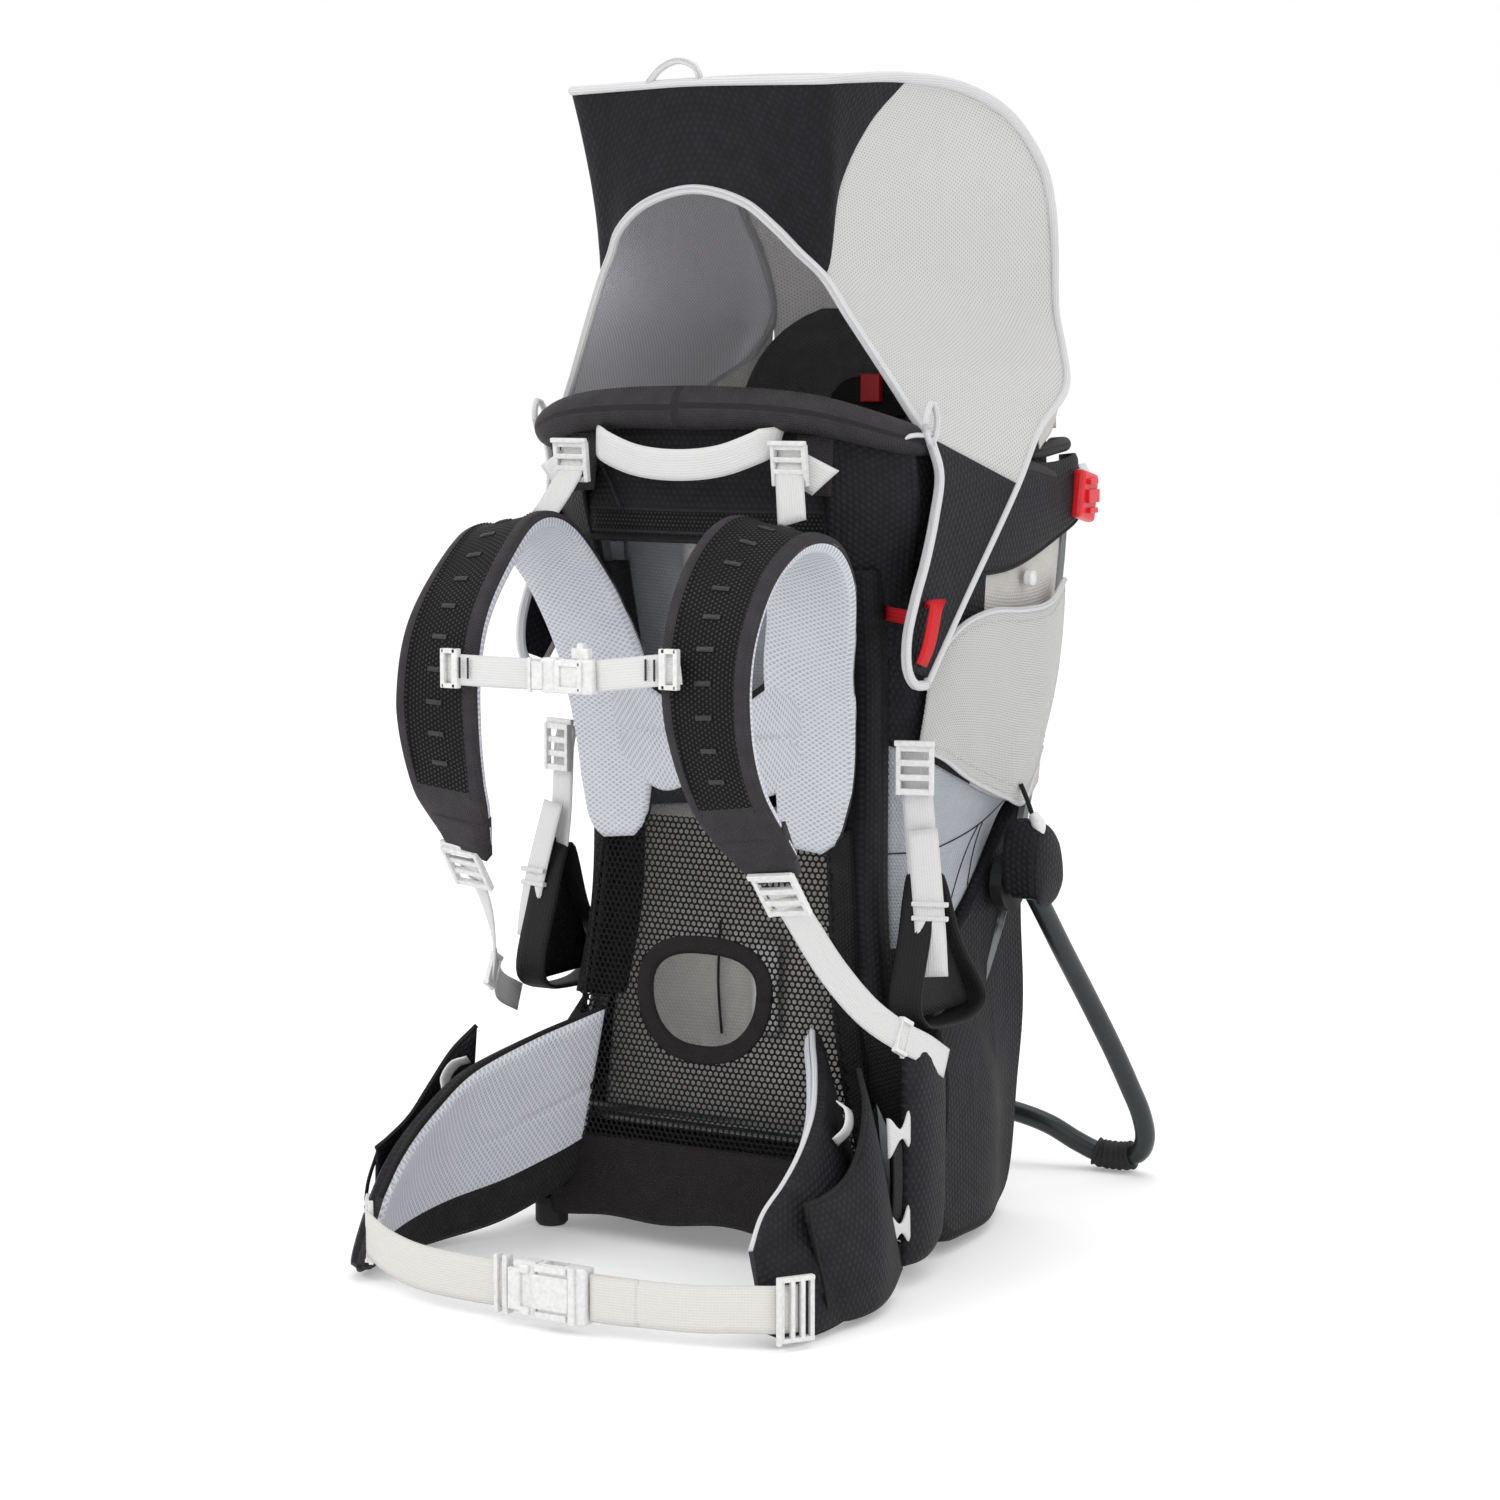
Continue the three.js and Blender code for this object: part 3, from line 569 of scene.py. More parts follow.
# ---------- frame, feet and kickstand ----------
keep("main_frame", ALLOY)
COLUMN = [(168, 2, 28), (158, 18, 110), (136, 32, 200), (123, 40, 290), (121, 42, 400), (122, 40, 500),
          (126, 24, 590)]
RING = [(0, -38, 722), (70, -36, 721), (120, -28, 716), (160, -4, 704), (175, 40, 694), (177, 110, 684),
        (177, 200, 671), (174, 290, 658), (158, 336, 652), (110, 350, 650), (0, 352, 650)]
HINGE = (228, 302)        # y and z of the kickstand's hinge pins
STAND_LEG = [(0, 423, 54), (70, 425, 51), (112, 431, 40), (140, 439, 24), (164, 444, 14.2),
             (186, 445, 14.2), (201, 443, 20), (211, 434, 36), (214, 418, 62), (211, 398, 92),
             (206, 372, 130), (198, 334, 182), (193, 285, 238), (189, 242, 288), (188, *HINGE)]
STAND_R = 9.5
COVER_ARCH = [(203, 296), (199, 326), (206, 352), (224, 358), (244, 346), (254, 318)]
COVER_LOW = [(204, 290), (210, 286), (222, 284), (234, 286), (246, 292), (254, 306)]


def column_y(z):
    return float(np.interp(z, [p[2] for p in COLUMN], [p[1] for p in COLUMN]))


def frame_parts():
    stand = tube("stand_tube", Path(mirrored(STAND_LEG)), STAND_R, STAND, "kickstand", 28)
    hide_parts("kickstand")
    for side, tag in SIDES:
        keep(f"front_foot_{tag}", RUBBER, 1.0)
        keep(f"kickstand_hinge_{tag}", DARK_PLASTIC, 0.8)
        lug = Path([(175.5, *HINGE), (200.5, *HINGE)], side)
        tube(f"stand_lug_{tag}", lug, 14, STAND, "kickstand", 32, 4)
        grip = Path([(193, 444.6, 16), (186, 445, 14.4), (175, 444.6, 14), (164, 444, 14.4),
                     (157, 442.8, 16.4)], side)
        foot = tube(f"stand_foot_{tag}", grip, lambda u: 13.2 + 0.6 * math.cos(u * 12 * math.pi),
                    RUBBER, "kickstand", 28, 48)
        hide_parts(f"kickstand_foot_{tag}")
        # the fabric cover hangs over the hinge, open below
        inner = Path([(176, y, z) for y, z in COVER_ARCH], side)
        outer = Path([(206, y + 2, z - 4) for y, z in COVER_ARCH], side)
        top = Pad(f"hinge_cover_{tag}", ruled(inner, outer, 3, (0, 0, 1)), (24, 10), 3.0, BLACK,
                  power=12.0)
        low = Path([(208, y, z) for y, z in COVER_LOW], side)
        Pad(f"hinge_flap_{tag}", ruled(outer, low, 4, (side, 0, 0)), (24, 12), 3.0, BLACK, power=12.0)
        stitches(f"hinge_stitch_{tag}", top.line([(0.04, 0.9), (0.96, 0.9)], 0.3), CHARCOAL)
        toggle = Path([(197, 216, 366), (203, 216, 356), (202, 217, 344)], side)
        tube(f"cover_toggle_{tag}", toggle, lambda u: 6.5 - 5 * abs(u - 0.45), BUCKLE, sides=16)
        cord = Path([(186, 214, 392), (192, 215, 378), (197, 216, 364)], side)
        tube(f"cover_cord_{tag}", cord, 2.2, BLACK_WEB, sides=8)


frame_parts()


# ---------- cockpit rim, walls and pockets ----------
def cockpit():
    far_half = [(-x, y, z) for x, y, z in reversed(RING[1:-1])]
    loop = Path(RING + far_half, closed=True)

    def roll(u):
        front = max(0.0, 1 - 6.0 * min(u, 1 - u))
        return 9.5 + 9.0 * front ** 0.4
    rim = tube("rim_roll", loop, roll, CHARCOAL, sides=24, steps=180, closed=True)
    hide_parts("rim_pad", "cockpit_ring")

    def front_mid(u, v):
        x = mix(-124, 124, u)
        z = mix(612, 712, v)
        return np.array([x, mix(-18, -28, v) + 15 * (x / 124) ** 2 - 2 * math.sin(v * math.pi * 3), z])
    front = Pad("front_panel_cloth", front_mid, (40, 18), 5.5, BLACK, power=10.0,
                relief=lambda u, v: -1.6 * math.exp(-((v - 0.62) / 0.03) ** 2))
    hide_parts("front_panel")
    tube("front_hem", hem(front_mid, 0.0, 12, (0, -1, -1)), 3.2, SOFT_BLACK)
    for k, v in enumerate((0.24, 0.06)):
        tube(f"front_trim_{k}", front.line([(0.04, v), (0.96, v)], -0.6), 1.5, CHARCOAL)
    netted = ruled(front.line([(0.05, 0.22), (0.95, 0.22)], 0.5),
                   front.line([(0.05, 0.08), (0.95, 0.08)], 0.5))
    cloth("front_net", netted, (40, 5), STRAP_NET, 1.2)
    for side, tag in SIDES:
        v0 = 0.97 if side > 0 else 0.03
        v1 = 0.82 if side > 0 else 0.18
        slant = front.line([(v0, 0.86), (v1, 0.24)], 0.2)
        tube(f"front_slant_{tag}", slant, 1.5, CHARCOAL)
        patch = ruled(Path([(96, -26, 704), (128, -20, 704)], side),
                      Path([(102, -27, 652), (126, -22, 650)], side))
        cloth(f"lift_patch_{tag}", patch, (8, 8), CHARCOAL, 2.0)

    inner = ruled(Path(mirrored([(0, 62, 612), (134, 70, 620)])),
                  Path(mirrored([(0, 80, 396), (132, 84, 400)])))
    wall = Pad("cockpit_front", inner, (30, 20), 7.0, LINING, LINING, power=12.0)
    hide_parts("cockpit_panel")
    blank = ruled(Path([(-62, 52, 606), (-4, 50, 606)]), Path([(-62, 62, 512), (-4, 60, 512)]))
    cloth("blank_patch", blank, (8, 8), WEB, 0.8)

    for side, tag in SIDES:
        for part in (side_band, side_wall, side_pocket, leg_lining, column_cover, column_front,
                     ring_buckle):
            part(side, tag)


def side_band(side, tag):
    band_top = Path([(164, 30, 692), (174, 56, 688), (180, 110, 682), (182, 200, 674), (180, 290, 672),
                     (172, 348, 678), (150, 362, 676)], side)
    band_low = Path([(160, 36, 604), (172, 62, 592), (180, 110, 582), (184, 190, 582), (182, 280, 602),
                     (174, 350, 622), (150, 364, 626)], side)
    band = Pad(f"band_{tag}", ruled(band_top, band_low, 3, (side, 0, 0)), (44, 12), 5.0, BLACK, power=8.0)
    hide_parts(f"side_band_{tag}")
    tube(f"band_hem_{tag}", band_low, 2.0, SOFT_BLACK)
    roll = Path([(172, 236, 680), (173, 270, 681), (171, 306, 684), (163, 344, 686),
                 (144, 360, 685)], side)
    tube(f"band_roll_{tag}", roll, lambda u: 6.5 * min(1, 0.4 + 4 * u), CHARCOAL, sides=16)


def side_wall(side, tag):
    wall_top = Path([(136, 50, 604), (158, 66, 604), (174, 112, 600), (177, 200, 600), (174, 296, 620),
                     (166, 342, 634)], side)
    wall_low = Path([(136, 50, 440), (156, 66, 432), (169, 112, 410), (172, 190, 382), (168, 260, 372),
                     (160, 300, 384)], side)
    face = turned(ruled(wall_top, wall_low, 2, (side, 0, 0)), side > 0)
    wall = cloth(f"wall_{tag}", face, (40, 16), WARM, 3.0, LINING,
                 zone=([BLACK], lambda u, v: 0 if u < 0.4 else None))
    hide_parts(f"side_wall_{tag}")


def side_pocket(side, tag):
    rim = Path([(170, 70, 505), (184, 98, 536), (192, 140, 548), (195, 200, 546), (192, 258, 549),
                (183, 306, 566)], side)
    keel = Path([(166, 60, 436), (174, 84, 428), (178, 128, 406), (181, 196, 382), (180, 232, 374),
                 (180, 268, 420)], side)

    def pocket_mid(u, v):
        point = mix(rim.at(u), keel.at(u), v)
        point[1] += 14 * u ** 4 * math.sin(math.pi * v)
        swell = 9 * math.sin(math.pi * v) * math.sin(math.pi * u)
        fold = 1.3 * math.sin(9 * u + 5 * v) * math.sin(math.pi * v)
        fold += 0.9 * math.sin(23 * u - 7 * v) * v
        point[0] += side * (swell + fold)
        return point
    pocket = cloth(f"pocket_{tag}", pocket_mid, (48, 36), POCKET_NET, 1.2)
    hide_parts(f"side_pocket_{tag}")
    pocket.cut()
    tube(f"pocket_hem_{tag}", rim, 2.6, PIPING)
    tube(f"pocket_piping_{tag}", keel, 2.4, PIPING)
    for v, part in ((0.93, "low"), (0.06, "top")):
        line = hem(pocket_mid, v, 16, (side, 0, 0))
        stitches(f"pocket_{part}_stitch_{tag}", line, PIPING)
    cap = Path([(184, 228, 572), (190, 228, 572)], side)
    tube(f"pocket_toggle_{tag}", cap, lambda u: 8.0 - 1.5 * u, BUCKLE, sides=24, steps=6)


def leg_lining(side, tag):
    """The grey lining seen in the leg opening."""
    inner_low = Path([(138, 56, 246), (146, 100, 252), (148, 170, 290), (140, 272, 372)], side)
    lining_top = Path([(136, 52, 446), (156, 68, 438), (167, 112, 418), (170, 190, 394),
                       (162, 280, 390)], side)
    lining = cloth(f"leg_lining_{tag}", ruled(lining_top, inner_low, -5, (side, 0, 0)), (30, 18),
                   LINING, 2.0)
    for k, spots in enumerate((((0.0, 0.5), (1.0, 0.42)), ((0.62, 0.46), (0.36, 0.98)),
                               ((0.66, 0.46), (0.56, 0.98)))):
        seam = Path([lining.mid(mix(spots[0][0], spots[1][0], t),
                                mix(spots[0][1], spots[1][1], t)) + (side * 1.2, 0, 0)
                     for t in np.linspace(0, 1, 12)])
        tube(f"lining_seam_{tag}{k}", seam, 0.7, CHARCOAL, sides=6)


def column_cover(side, tag):
    """The padded sleeve over the frame column."""
    line = Path(COLUMN[2:], side)

    def section(u, v):
        angle = 2 * math.pi * v
        c, s = math.cos(angle), math.sin(angle)
        wide = 21.5 * abs(c) ** 0.55 * (1 if c > 0 else -1)
        deep = 17.5 * abs(s) ** 0.7 * (1 if s > 0 else -1)
        return line.at(mix(0.02, 0.995, u)) + (wide, deep, 0)
    points, uvs = [], []
    count, sides = 60, 28
    for i in range(count + 1):
        for j in range(sides):
            points.append(section(i / count, j / sides))
            uvs.append((j / sides * 0.12, i / count * 0.38))
    sleeve = make(f"column_cover_{tag}", points, lofted(count + 1, sides), [BLACK], uvs, ROOT)
    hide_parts(f"column_sleeve_{tag}")


def column_front(side, tag):
    gusset = ruled(Path([(120, -20, 711), (118, -14, 640), (112, 2, 580), (106, 18, 520)], side),
                   Path([(178, 24, 700), (178, 36, 640), (166, 48, 590), (146, 56, 510)],
                        side), 5, (0, -1, 0))
    corner = cloth(f"corner_{tag}", gusset, (22, 14), BLACK, 2.4)
    stitches(f"corner_stitch_{tag}", corner.line([(0.03, 0.93), (0.97, 0.93)], 0.2), SOFT_BLACK)
    red = Path([(146, 36, 552), (160, 26, 551), (180, 16, 550)], side)
    belt(f"column_tab_{tag}", red, 12, Z_UP, RED_WEB, steps=6)


def ring_buckle(side, tag):
    keep(f"side_buckle_{tag}", RED, 2.0)
    blocks(f"side_clasp_{tag}", [((0, 2, 0), (22, 8, 12)), ((0, 2, 13), (16, 8, 5)),
                                 ((0, 2, -13), (16, 8, 5))], (side * 190, 340, 640), RED, (0, 1, 0))
    belt(f"side_strap_{tag}", Path([(176, 352, 668), (184, 352, 656), (187, 346, 640),
                                    (182, 350, 622)], side), 16, (0, 1, 0), WEB)


cockpit()


# ---------- lower bag, seat and head panel ----------
def lower_bag():
    outline = Path([(0, 60, 46), (0, 66, 12), (0, 120, 5), (0, 200, 5), (0, 250, 16), (0, 274, 58),
                    (0, 284, 130), (0, 290, 220), (0, 291, 310), (0, 288, 384), (0, 262, 362),
                    (0, 200, 312), (0, 150, 272), (0, 104, 262), (0, 84, 200), (0, 70, 110)], closed=True)
    middle = np.array([0, 198, 190.0])
    points, uvs = [], []
    count, sides = 40, 96
    caps = (0.25, 0.5, 0.75, 0.9299)
    slices = [(-1.0, s) for s in caps]
    for i in range(count + 1):
        t = 2 * i / count - 1
        slices.append((math.sin(t * math.pi / 2), 1 - 0.05 * abs(t) ** 12 - 0.02 * t * t))
    slices += [(1.0, s) for s in reversed(caps)]
    for t, shrink in slices:
        for j in range(sides):
            p = outline.at(j / sides)
            q = middle + (p - middle) * shrink
            low = 1 / (1 + math.exp((q[2] - 190) / 22))
            fore = 1 / (1 + math.exp((q[1] - 205) / 22))
            x = (154 + 34 * low * fore) * t
            sag = 1.6 * math.sin(q[2] / 31 + t * 2) * math.sin(q[1] / 37)
            q[1] += sag * 0.6
            q[0] = x + sag * (1 if t > 0 else -1) * abs(t) ** 4
            points.append(q)
            flat = abs(t) == 1.0 and shrink < 0.93
            uvs.append((q[1] / 1000, q[2] / 1000) if flat else (x / 1000, j / sides * 0.95))
    faces = lofted(len(slices), sides, flip=True)
    bag = make("bag_body", points, faces, [BLACK], uvs, ROOT)
    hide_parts("lower_bag")
    grey = ruled(Path([(-116, 56, 372), (-40, 70, 376), (40, 70, 376), (116, 56, 372)]),
                 Path([(-132, 32, 92), (-40, 52, 88), (40, 52, 88), (132, 32, 92)]))

    # painted shade: the charcoal zone darkens the lining's left side, widest at the top, and a band along
    # its bottom
    def dark(u, v):
        return 0 if v > 0.84 - 0.12 * u or u < 0.3 - 0.35 * v else None
    cloth("bag_lining", grey, (60, 48), WARM, 1.6, zone=([CHARCOAL], dark))
    corner = Path([(-26, 56, 276), (-28, 55, 220), (-24, 54, 176)])
    tube("lining_corner", corner, 1.2, CHARCOAL, sides=6)
    belt("lining_strap", Path([(22, 52, 262), (22, 50, 214), (22, 51, 180)]), 26, X_OUT, WEB)
    blocks("lining_slot", [((0, 0, 0), (14, 1.2, 3)), ((2, 0, -12), (3, 1.2, 3))], (22, 48, 226),
           CHARCOAL, bevel=0.3)
    for side, tag in SIDES:
        flank = ruled(Path([(152, 112, 266), (154, 104, 160), (154, 92, 30)], side),
                      Path([(134, 40, 262), (150, 30, 160), (162, 14, 36)], side), 4, (side, 0, 0))
        cloth(f"bag_flank_{tag}", flank, (20, 10), BLACK, 2.0)


def seat():
    base = ruled(Path([(-74, 134, 388), (0, 130, 386), (74, 134, 388)]),
                 Path([(-74, 276, 402), (0, 278, 402), (74, 276, 402)]))
    pad = Pad("seat_cushion", base, (24, 24), 24, SOFT_BLACK, power=4.0, body="seat",
              relief=lambda u, v: -3 * math.exp(-((v - 0.5) / 0.03) ** 2))
    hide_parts("seat_pad")
    line = Path([(0, 306, 404), (0, 316, 520), (0, 318, 620), (0, 314, 700), (0, 318, 780),
                 (0, 324, 808)])

    def wide(u):
        z = line.at(u)[2]
        top = min(max(0.0, (z - 690) / 124), 1.0)
        return 2 * (34 + 124 * max(1 - top ** 2.2, 0) ** 0.5)
    # the back of the pad faces the cockpit and takes the lightened charcoal: painted light against the
    # shade under the hood
    head = Pad("head_panel", strip(line, wide, X_OUT), (60, 40), 20, BLACK, HEAD_PAINTED_LIGHT, power=5.0,
               rim=0.35, relief=lambda u, v: -2.2 * math.exp(-((u - 0.72) / 0.012) ** 2)
               - 2.0 * math.exp(-((abs(v - 0.5) - 0.3) / 0.018) ** 2))
    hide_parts("seat_back")
    harness = Path(mirrored([(0, 282, 600), (12, 284, 606), (42, 292, 650), (56, 300, 700)]))
    straps = belt("harness_straps", harness, 26, (0, -0.4, 1), RED_WEB)
    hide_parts("child_harness")
    blocks("harness_clasp", [((0, 0, 0), (44, 14, 40)), ((0, 5, 0), (18, 8, 18)),
                             ((0, 2, 24), (30, 8, 10))], (0, 276, 600), RED, bevel=2.0)
    # painted shade: a black sheet laid on the head panel stands for the dark inside of the harness slot
    slot = ruled(Path([(-54, 304, 730), (-40, 301, 742), (-6, 299, 748), (28, 301, 742),
                       (42, 304, 730)]),
                 Path([(-54, 304, 726), (-40, 301, 712), (-6, 299, 706), (28, 301, 712),
                       (42, 304, 726)]))
    cloth("head_slot", slot, (20, 8), BLACK_WEB, 1.6)
    blocks("head_clip", [((0, 0, 0), (20, 8, 26))], (-8, 295, 736), RED, bevel=1.6)
    for side, tag in SIDES:
        blocks(f"chest_clip_{tag}", [((0, 0, 0), (34, 10, 26)), ((0, 3, 0), (20, 8, 12))],
               (side * 48, 290, 690), RED, bevel=1.6)


lower_bag()
seat()


# ---------- back mesh and lumbar band ----------
PORT = (54, 46, 223)      # half width, half height and height of the port
MESH_Y = [(60, -24), (86, -21), (150, -19), (222, -14), (300, -7), (366, -1)]
MESH_HALF = [(80, 160), (110, 150), (160, 137), (220, 126), (300, 119), (372, 112)]


def port_point(angle, grow=0.0):
    """The port is nearly flat on top and round below."""
    c, s = math.cos(angle), math.sin(angle)
    wide = PORT[0] * (1 + 0.06 * s) * (1 if c > 0 else -1) * abs(c) ** 0.78
    tall = PORT[1] * (0.82 * abs(s) ** 0.8 if s > 0 else -abs(s) ** 0.95)
    return wide + grow * c, PORT[2] + tall + grow * s


def mesh_point(x, z, lift=0.0):
    return np.array([x, rows(MESH_Y, z) + 6 * (x / 134) ** 2 - lift, z])


def back_mesh():
    pitch = 5.6
    rise = pitch * math.sqrt(3) / 2
    points, faces, uvs, found = [], [], [], {}

    def corner(x, z):
        key = (round(x, 2), round(z, 2))
        if key not in found:
            found[key] = len(points)
            points.append(mesh_point(x, z, 1.5))
            uvs.append((x / 1000, z / 1000))
        return found[key]
    side = pitch / math.sqrt(3)
    row = 0
    z = 84.0
    while z < 372:
        half = rows(MESH_HALF, z)
        x = -162 + (pitch / 2 if row % 2 else 0)
        while x < 162:
            wide = (x / (PORT[0] + 4)) ** 2 + ((z - PORT[2]) / (PORT[1] + 4)) ** 2
            if wide > 1 and abs(x) < half:
                ring = []
                for k in range(6):
                    a = math.radians(90 + 60 * k)
                    ring.append(corner(x + side * math.cos(a), z + side * math.sin(a)))
                faces.append(tuple(ring))
            x += pitch
        z += rise
        row += 1
    net = make("back_net", points, faces, [HEX_NET], uvs, ROOT, smooth=False)
    wires = net.modifiers.new("wires", "WIREFRAME")
    wires.thickness = 0.0022
    wires.use_even_offset = False
    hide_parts("back_mesh")

    def bind(u, v):
        a = 2 * math.pi * u
        return mesh_point(*port_point(a, mix(-1.5, 12.5, v)), 2.6)
    cloth("port_binding", bind, (64, 4), BROWN, 3.0)
    tube("port_edge", Path([mesh_point(*port_point(a, -1.0), 2.0) for a in
                            np.linspace(0, 2 * math.pi, 28, endpoint=False)], 1, True), 1.9, BROWN,
         closed=True, sides=10)
    for side, tag in SIDES:
        heights = range(80, 380, 24)
        edge = ruled(Path([mesh_point(side * (rows(MESH_HALF, z) - 3), z, 2) for z in heights]),
                     Path([(side * (rows(MESH_HALF, z) + 9), mix(mesh_point(120, z)[1], column_y(z),
                                                                 0.5), z) for z in heights]))
        cloth(f"net_edge_{tag}", edge, (30, 4), SOFT_BLACK, 2.6)

    def band(u, v):
        x = mix(-162, 162, u)
        low = 20 + 4 * math.cos(x / 134 * math.pi) + 3 * math.sin(x / 21)
        z = mix(low, 92, v)
        return np.array([x, mix(-24, -22, v) + 16 * (x / 162) ** 2, z])
    lumbar = Pad("lumbar_pad", band, (50, 16), 11, BROWN, power=6.0)
    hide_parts("lumbar_band")


back_mesh()


# ---------- shoulder harness ----------
STRAP_LINE = [(93, -2, 352), (95, 0, 372), (98, 2, 420), (99, -4, 465), (101, -14, 503),
              (111, -27, 545), (122, -48, 586), (127, -84, 617), (125, -128, 622), (122, -172, 597),
              (125, -212, 545), (128, -221, 486), (134, -201, 420), (146, -158, 366)]
STRAP_WIDE = [(0, 30), (0.012, 48), (0.03, 60), (0.08, 72), (0.2, 84), (0.35, 80), (0.8, 78),
              (0.93, 68), (1, 52)]
STRAP_TURN = [(0, 0), (0.35, 0.06), (0.55, 0.25), (0.8, 0.2), (1, -0.25)]


def shoulder_strap(side, tag):
    path = Path(STRAP_LINE, side)

    def across(u):
        return (side, 0, -rows(STRAP_TURN, u))

    def groove(u, v):
        edge = abs(v - 0.5) * 2
        inset = min(1, max(0, (u - 0.42) * 30)) * min(1, max(0, (0.90 - u) * 40))
        return -2.6 * inset / (1 + math.exp((edge - 0.70) * 60))

    def zone(u, v):
        edge = abs(v - 0.5) * 2
        return 0 if 0.42 < u < 0.9 and edge < 0.72 else None
    # the width runs so that the front of the pad is the outer, black face
    mid = turned(strip(path, lambda u: rows(STRAP_WIDE, u), across), side < 0)
    pad = Pad(f"strap_{tag}", mid, (150, 36), 17, CHARCOAL, SPACER, SPACER, power=4.5, rim=0.25,
              relief=groove, zone=([STRAP_NET], zone))
    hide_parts(f"shoulder_strap_{tag}")
    for k, v in enumerate((0.03, 0.97)):
        line = Path([pad.mid(u, v) + pad.surface(u, v)[1] * 1.5 for u in np.linspace(0.0, 1.0, 40)])
        tube(f"strap_binding_{tag}{k}", line, 2.6, CHARCOAL, sides=10)
    for k in range(11):
        u = 0.475 + k * 0.039
        spot, normal = pad.surface(u, 0.5, 0.4)
        wide = unit(pad.mid(u, 0.7) - pad.mid(u, 0.3))
        blocks(f"daisy_{tag}{k}", [((0, 0, 0), (15, 1.6, 4.2)), ((0, 0, 0), (9, 2.6, 2.6))], spot,
               DARK_PLASTIC, wide, unit(np.cross(normal, wide)), bevel=0.6)
    for k, v in enumerate((0.14, 0.86)):
        stitches(f"strap_stitch_{tag}{k}", pad.line([(0.40, v), (0.91, v)], 0.3), BLACK_WEB)
    hood = ruled(pad.line([(0.40, 0.06), (0.40, 0.94)], 1.0),
                 pad.line([(0.475, 0.42), (0.475, 0.58)], 1.0))
    cloth(f"strap_top_{tag}", hood, (16, 10), SOFT_BLACK, 1.8)
    # black tongue under the lock
    end = path.at(1.0)
    down = path.tangent(1.0)
    tongue = Path([end - down * 34, end - down * 10, end + down * 18])
    belt(f"strap_tongue_{tag}", tongue, lambda u: 66 - 26 * u, across(1.0), CHARCOAL, thick=19,
         steps=14)


def yoke():
    def mid(u, v):
        x = mix(-96, 96, u)
        share = abs(x) / 96
        low = 410 - 16 * math.sin(math.pi * min(share, 1)) ** 2 + 26 * share ** 8
        top = 462 + 56 * share ** 1.6
        z = mix(low, top, v)
        y = float(np.interp(z, [372, 400, 440, 486, 520], [2, 3, -1, -10, -19]))
        return np.array([x, y, z])

    def seam(u, v):
        z = mid(u, v)[2]
        return -2.4 * math.exp(-((z - 447) / 1.6) ** 2)
    pad = Pad("yoke", mid, (60, 44), 15, SPACER, SOFT_BLACK, power=7.0, rim=0.4, relief=seam)
    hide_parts("yoke_pad")
    tube("yoke_edge", hem(mid, 1.0, 16, (0, 2, 2)), 4.5, SOFT_BLACK)


def harness_webbing(side, tag):
    lock = (side * 152, -148, 338)
    up = unit((side * -0.10, -0.62, 0.78))
    plate = ladder(f"lock_{tag}", lock, (side, 0.05, 0.1), up, 38, 44)
    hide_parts(f"strap_lock_{tag}")
    slack = [(158, -128, 316), (172, -100, 272), (190, -74, 236), (205, -48, 214), (211, -10, 196),
             (211, 26, 178)]
    taut = [(159, -116, 312), (176, -76, 268), (198, -40, 232), (211, -14, 212), (215, 22, 196)]
    path = Path([(152, -150, 344)] + (slack if side > 0 else taut), side)
    web = belt(f"lower_web_{tag}", path, 25, lambda u: (mix(1, 0, min(1, u * 1.5)) * side, 0.2,
                                                         0.2 + u), WEB)
    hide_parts(f"strap_webbing_{tag}")
    place = (207, -44, 212) if side > 0 else (-200, -41, 231)
    ladder(f"glide_{tag}", place, (0, 0.45, 0.9), (side * 0.1, 0.9, -0.45), 30, 16)
    top = (side * 106, -55, 676)
    lifter = ladder(f"lift_lock_{tag}", top, X_OUT, (0, -0.12, 1), 33, 34)
    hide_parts(f"lifter_{tag}")
    path = Path([(106, -50, 694), (106, -55, 672), (112, -64, 652), (121, -77, 630)], side)
    belt(f"lift_web_{tag}", path, 25, X_OUT, WEB)
    tab = ruled(Path([(118, -50, 686), (145, -42, 672)], side),
                Path([(116, -50, 656), (124, -50, 652)], side))
    cloth(f"lift_tab_{tag}", tab, (6, 6), WEB, 2.0)


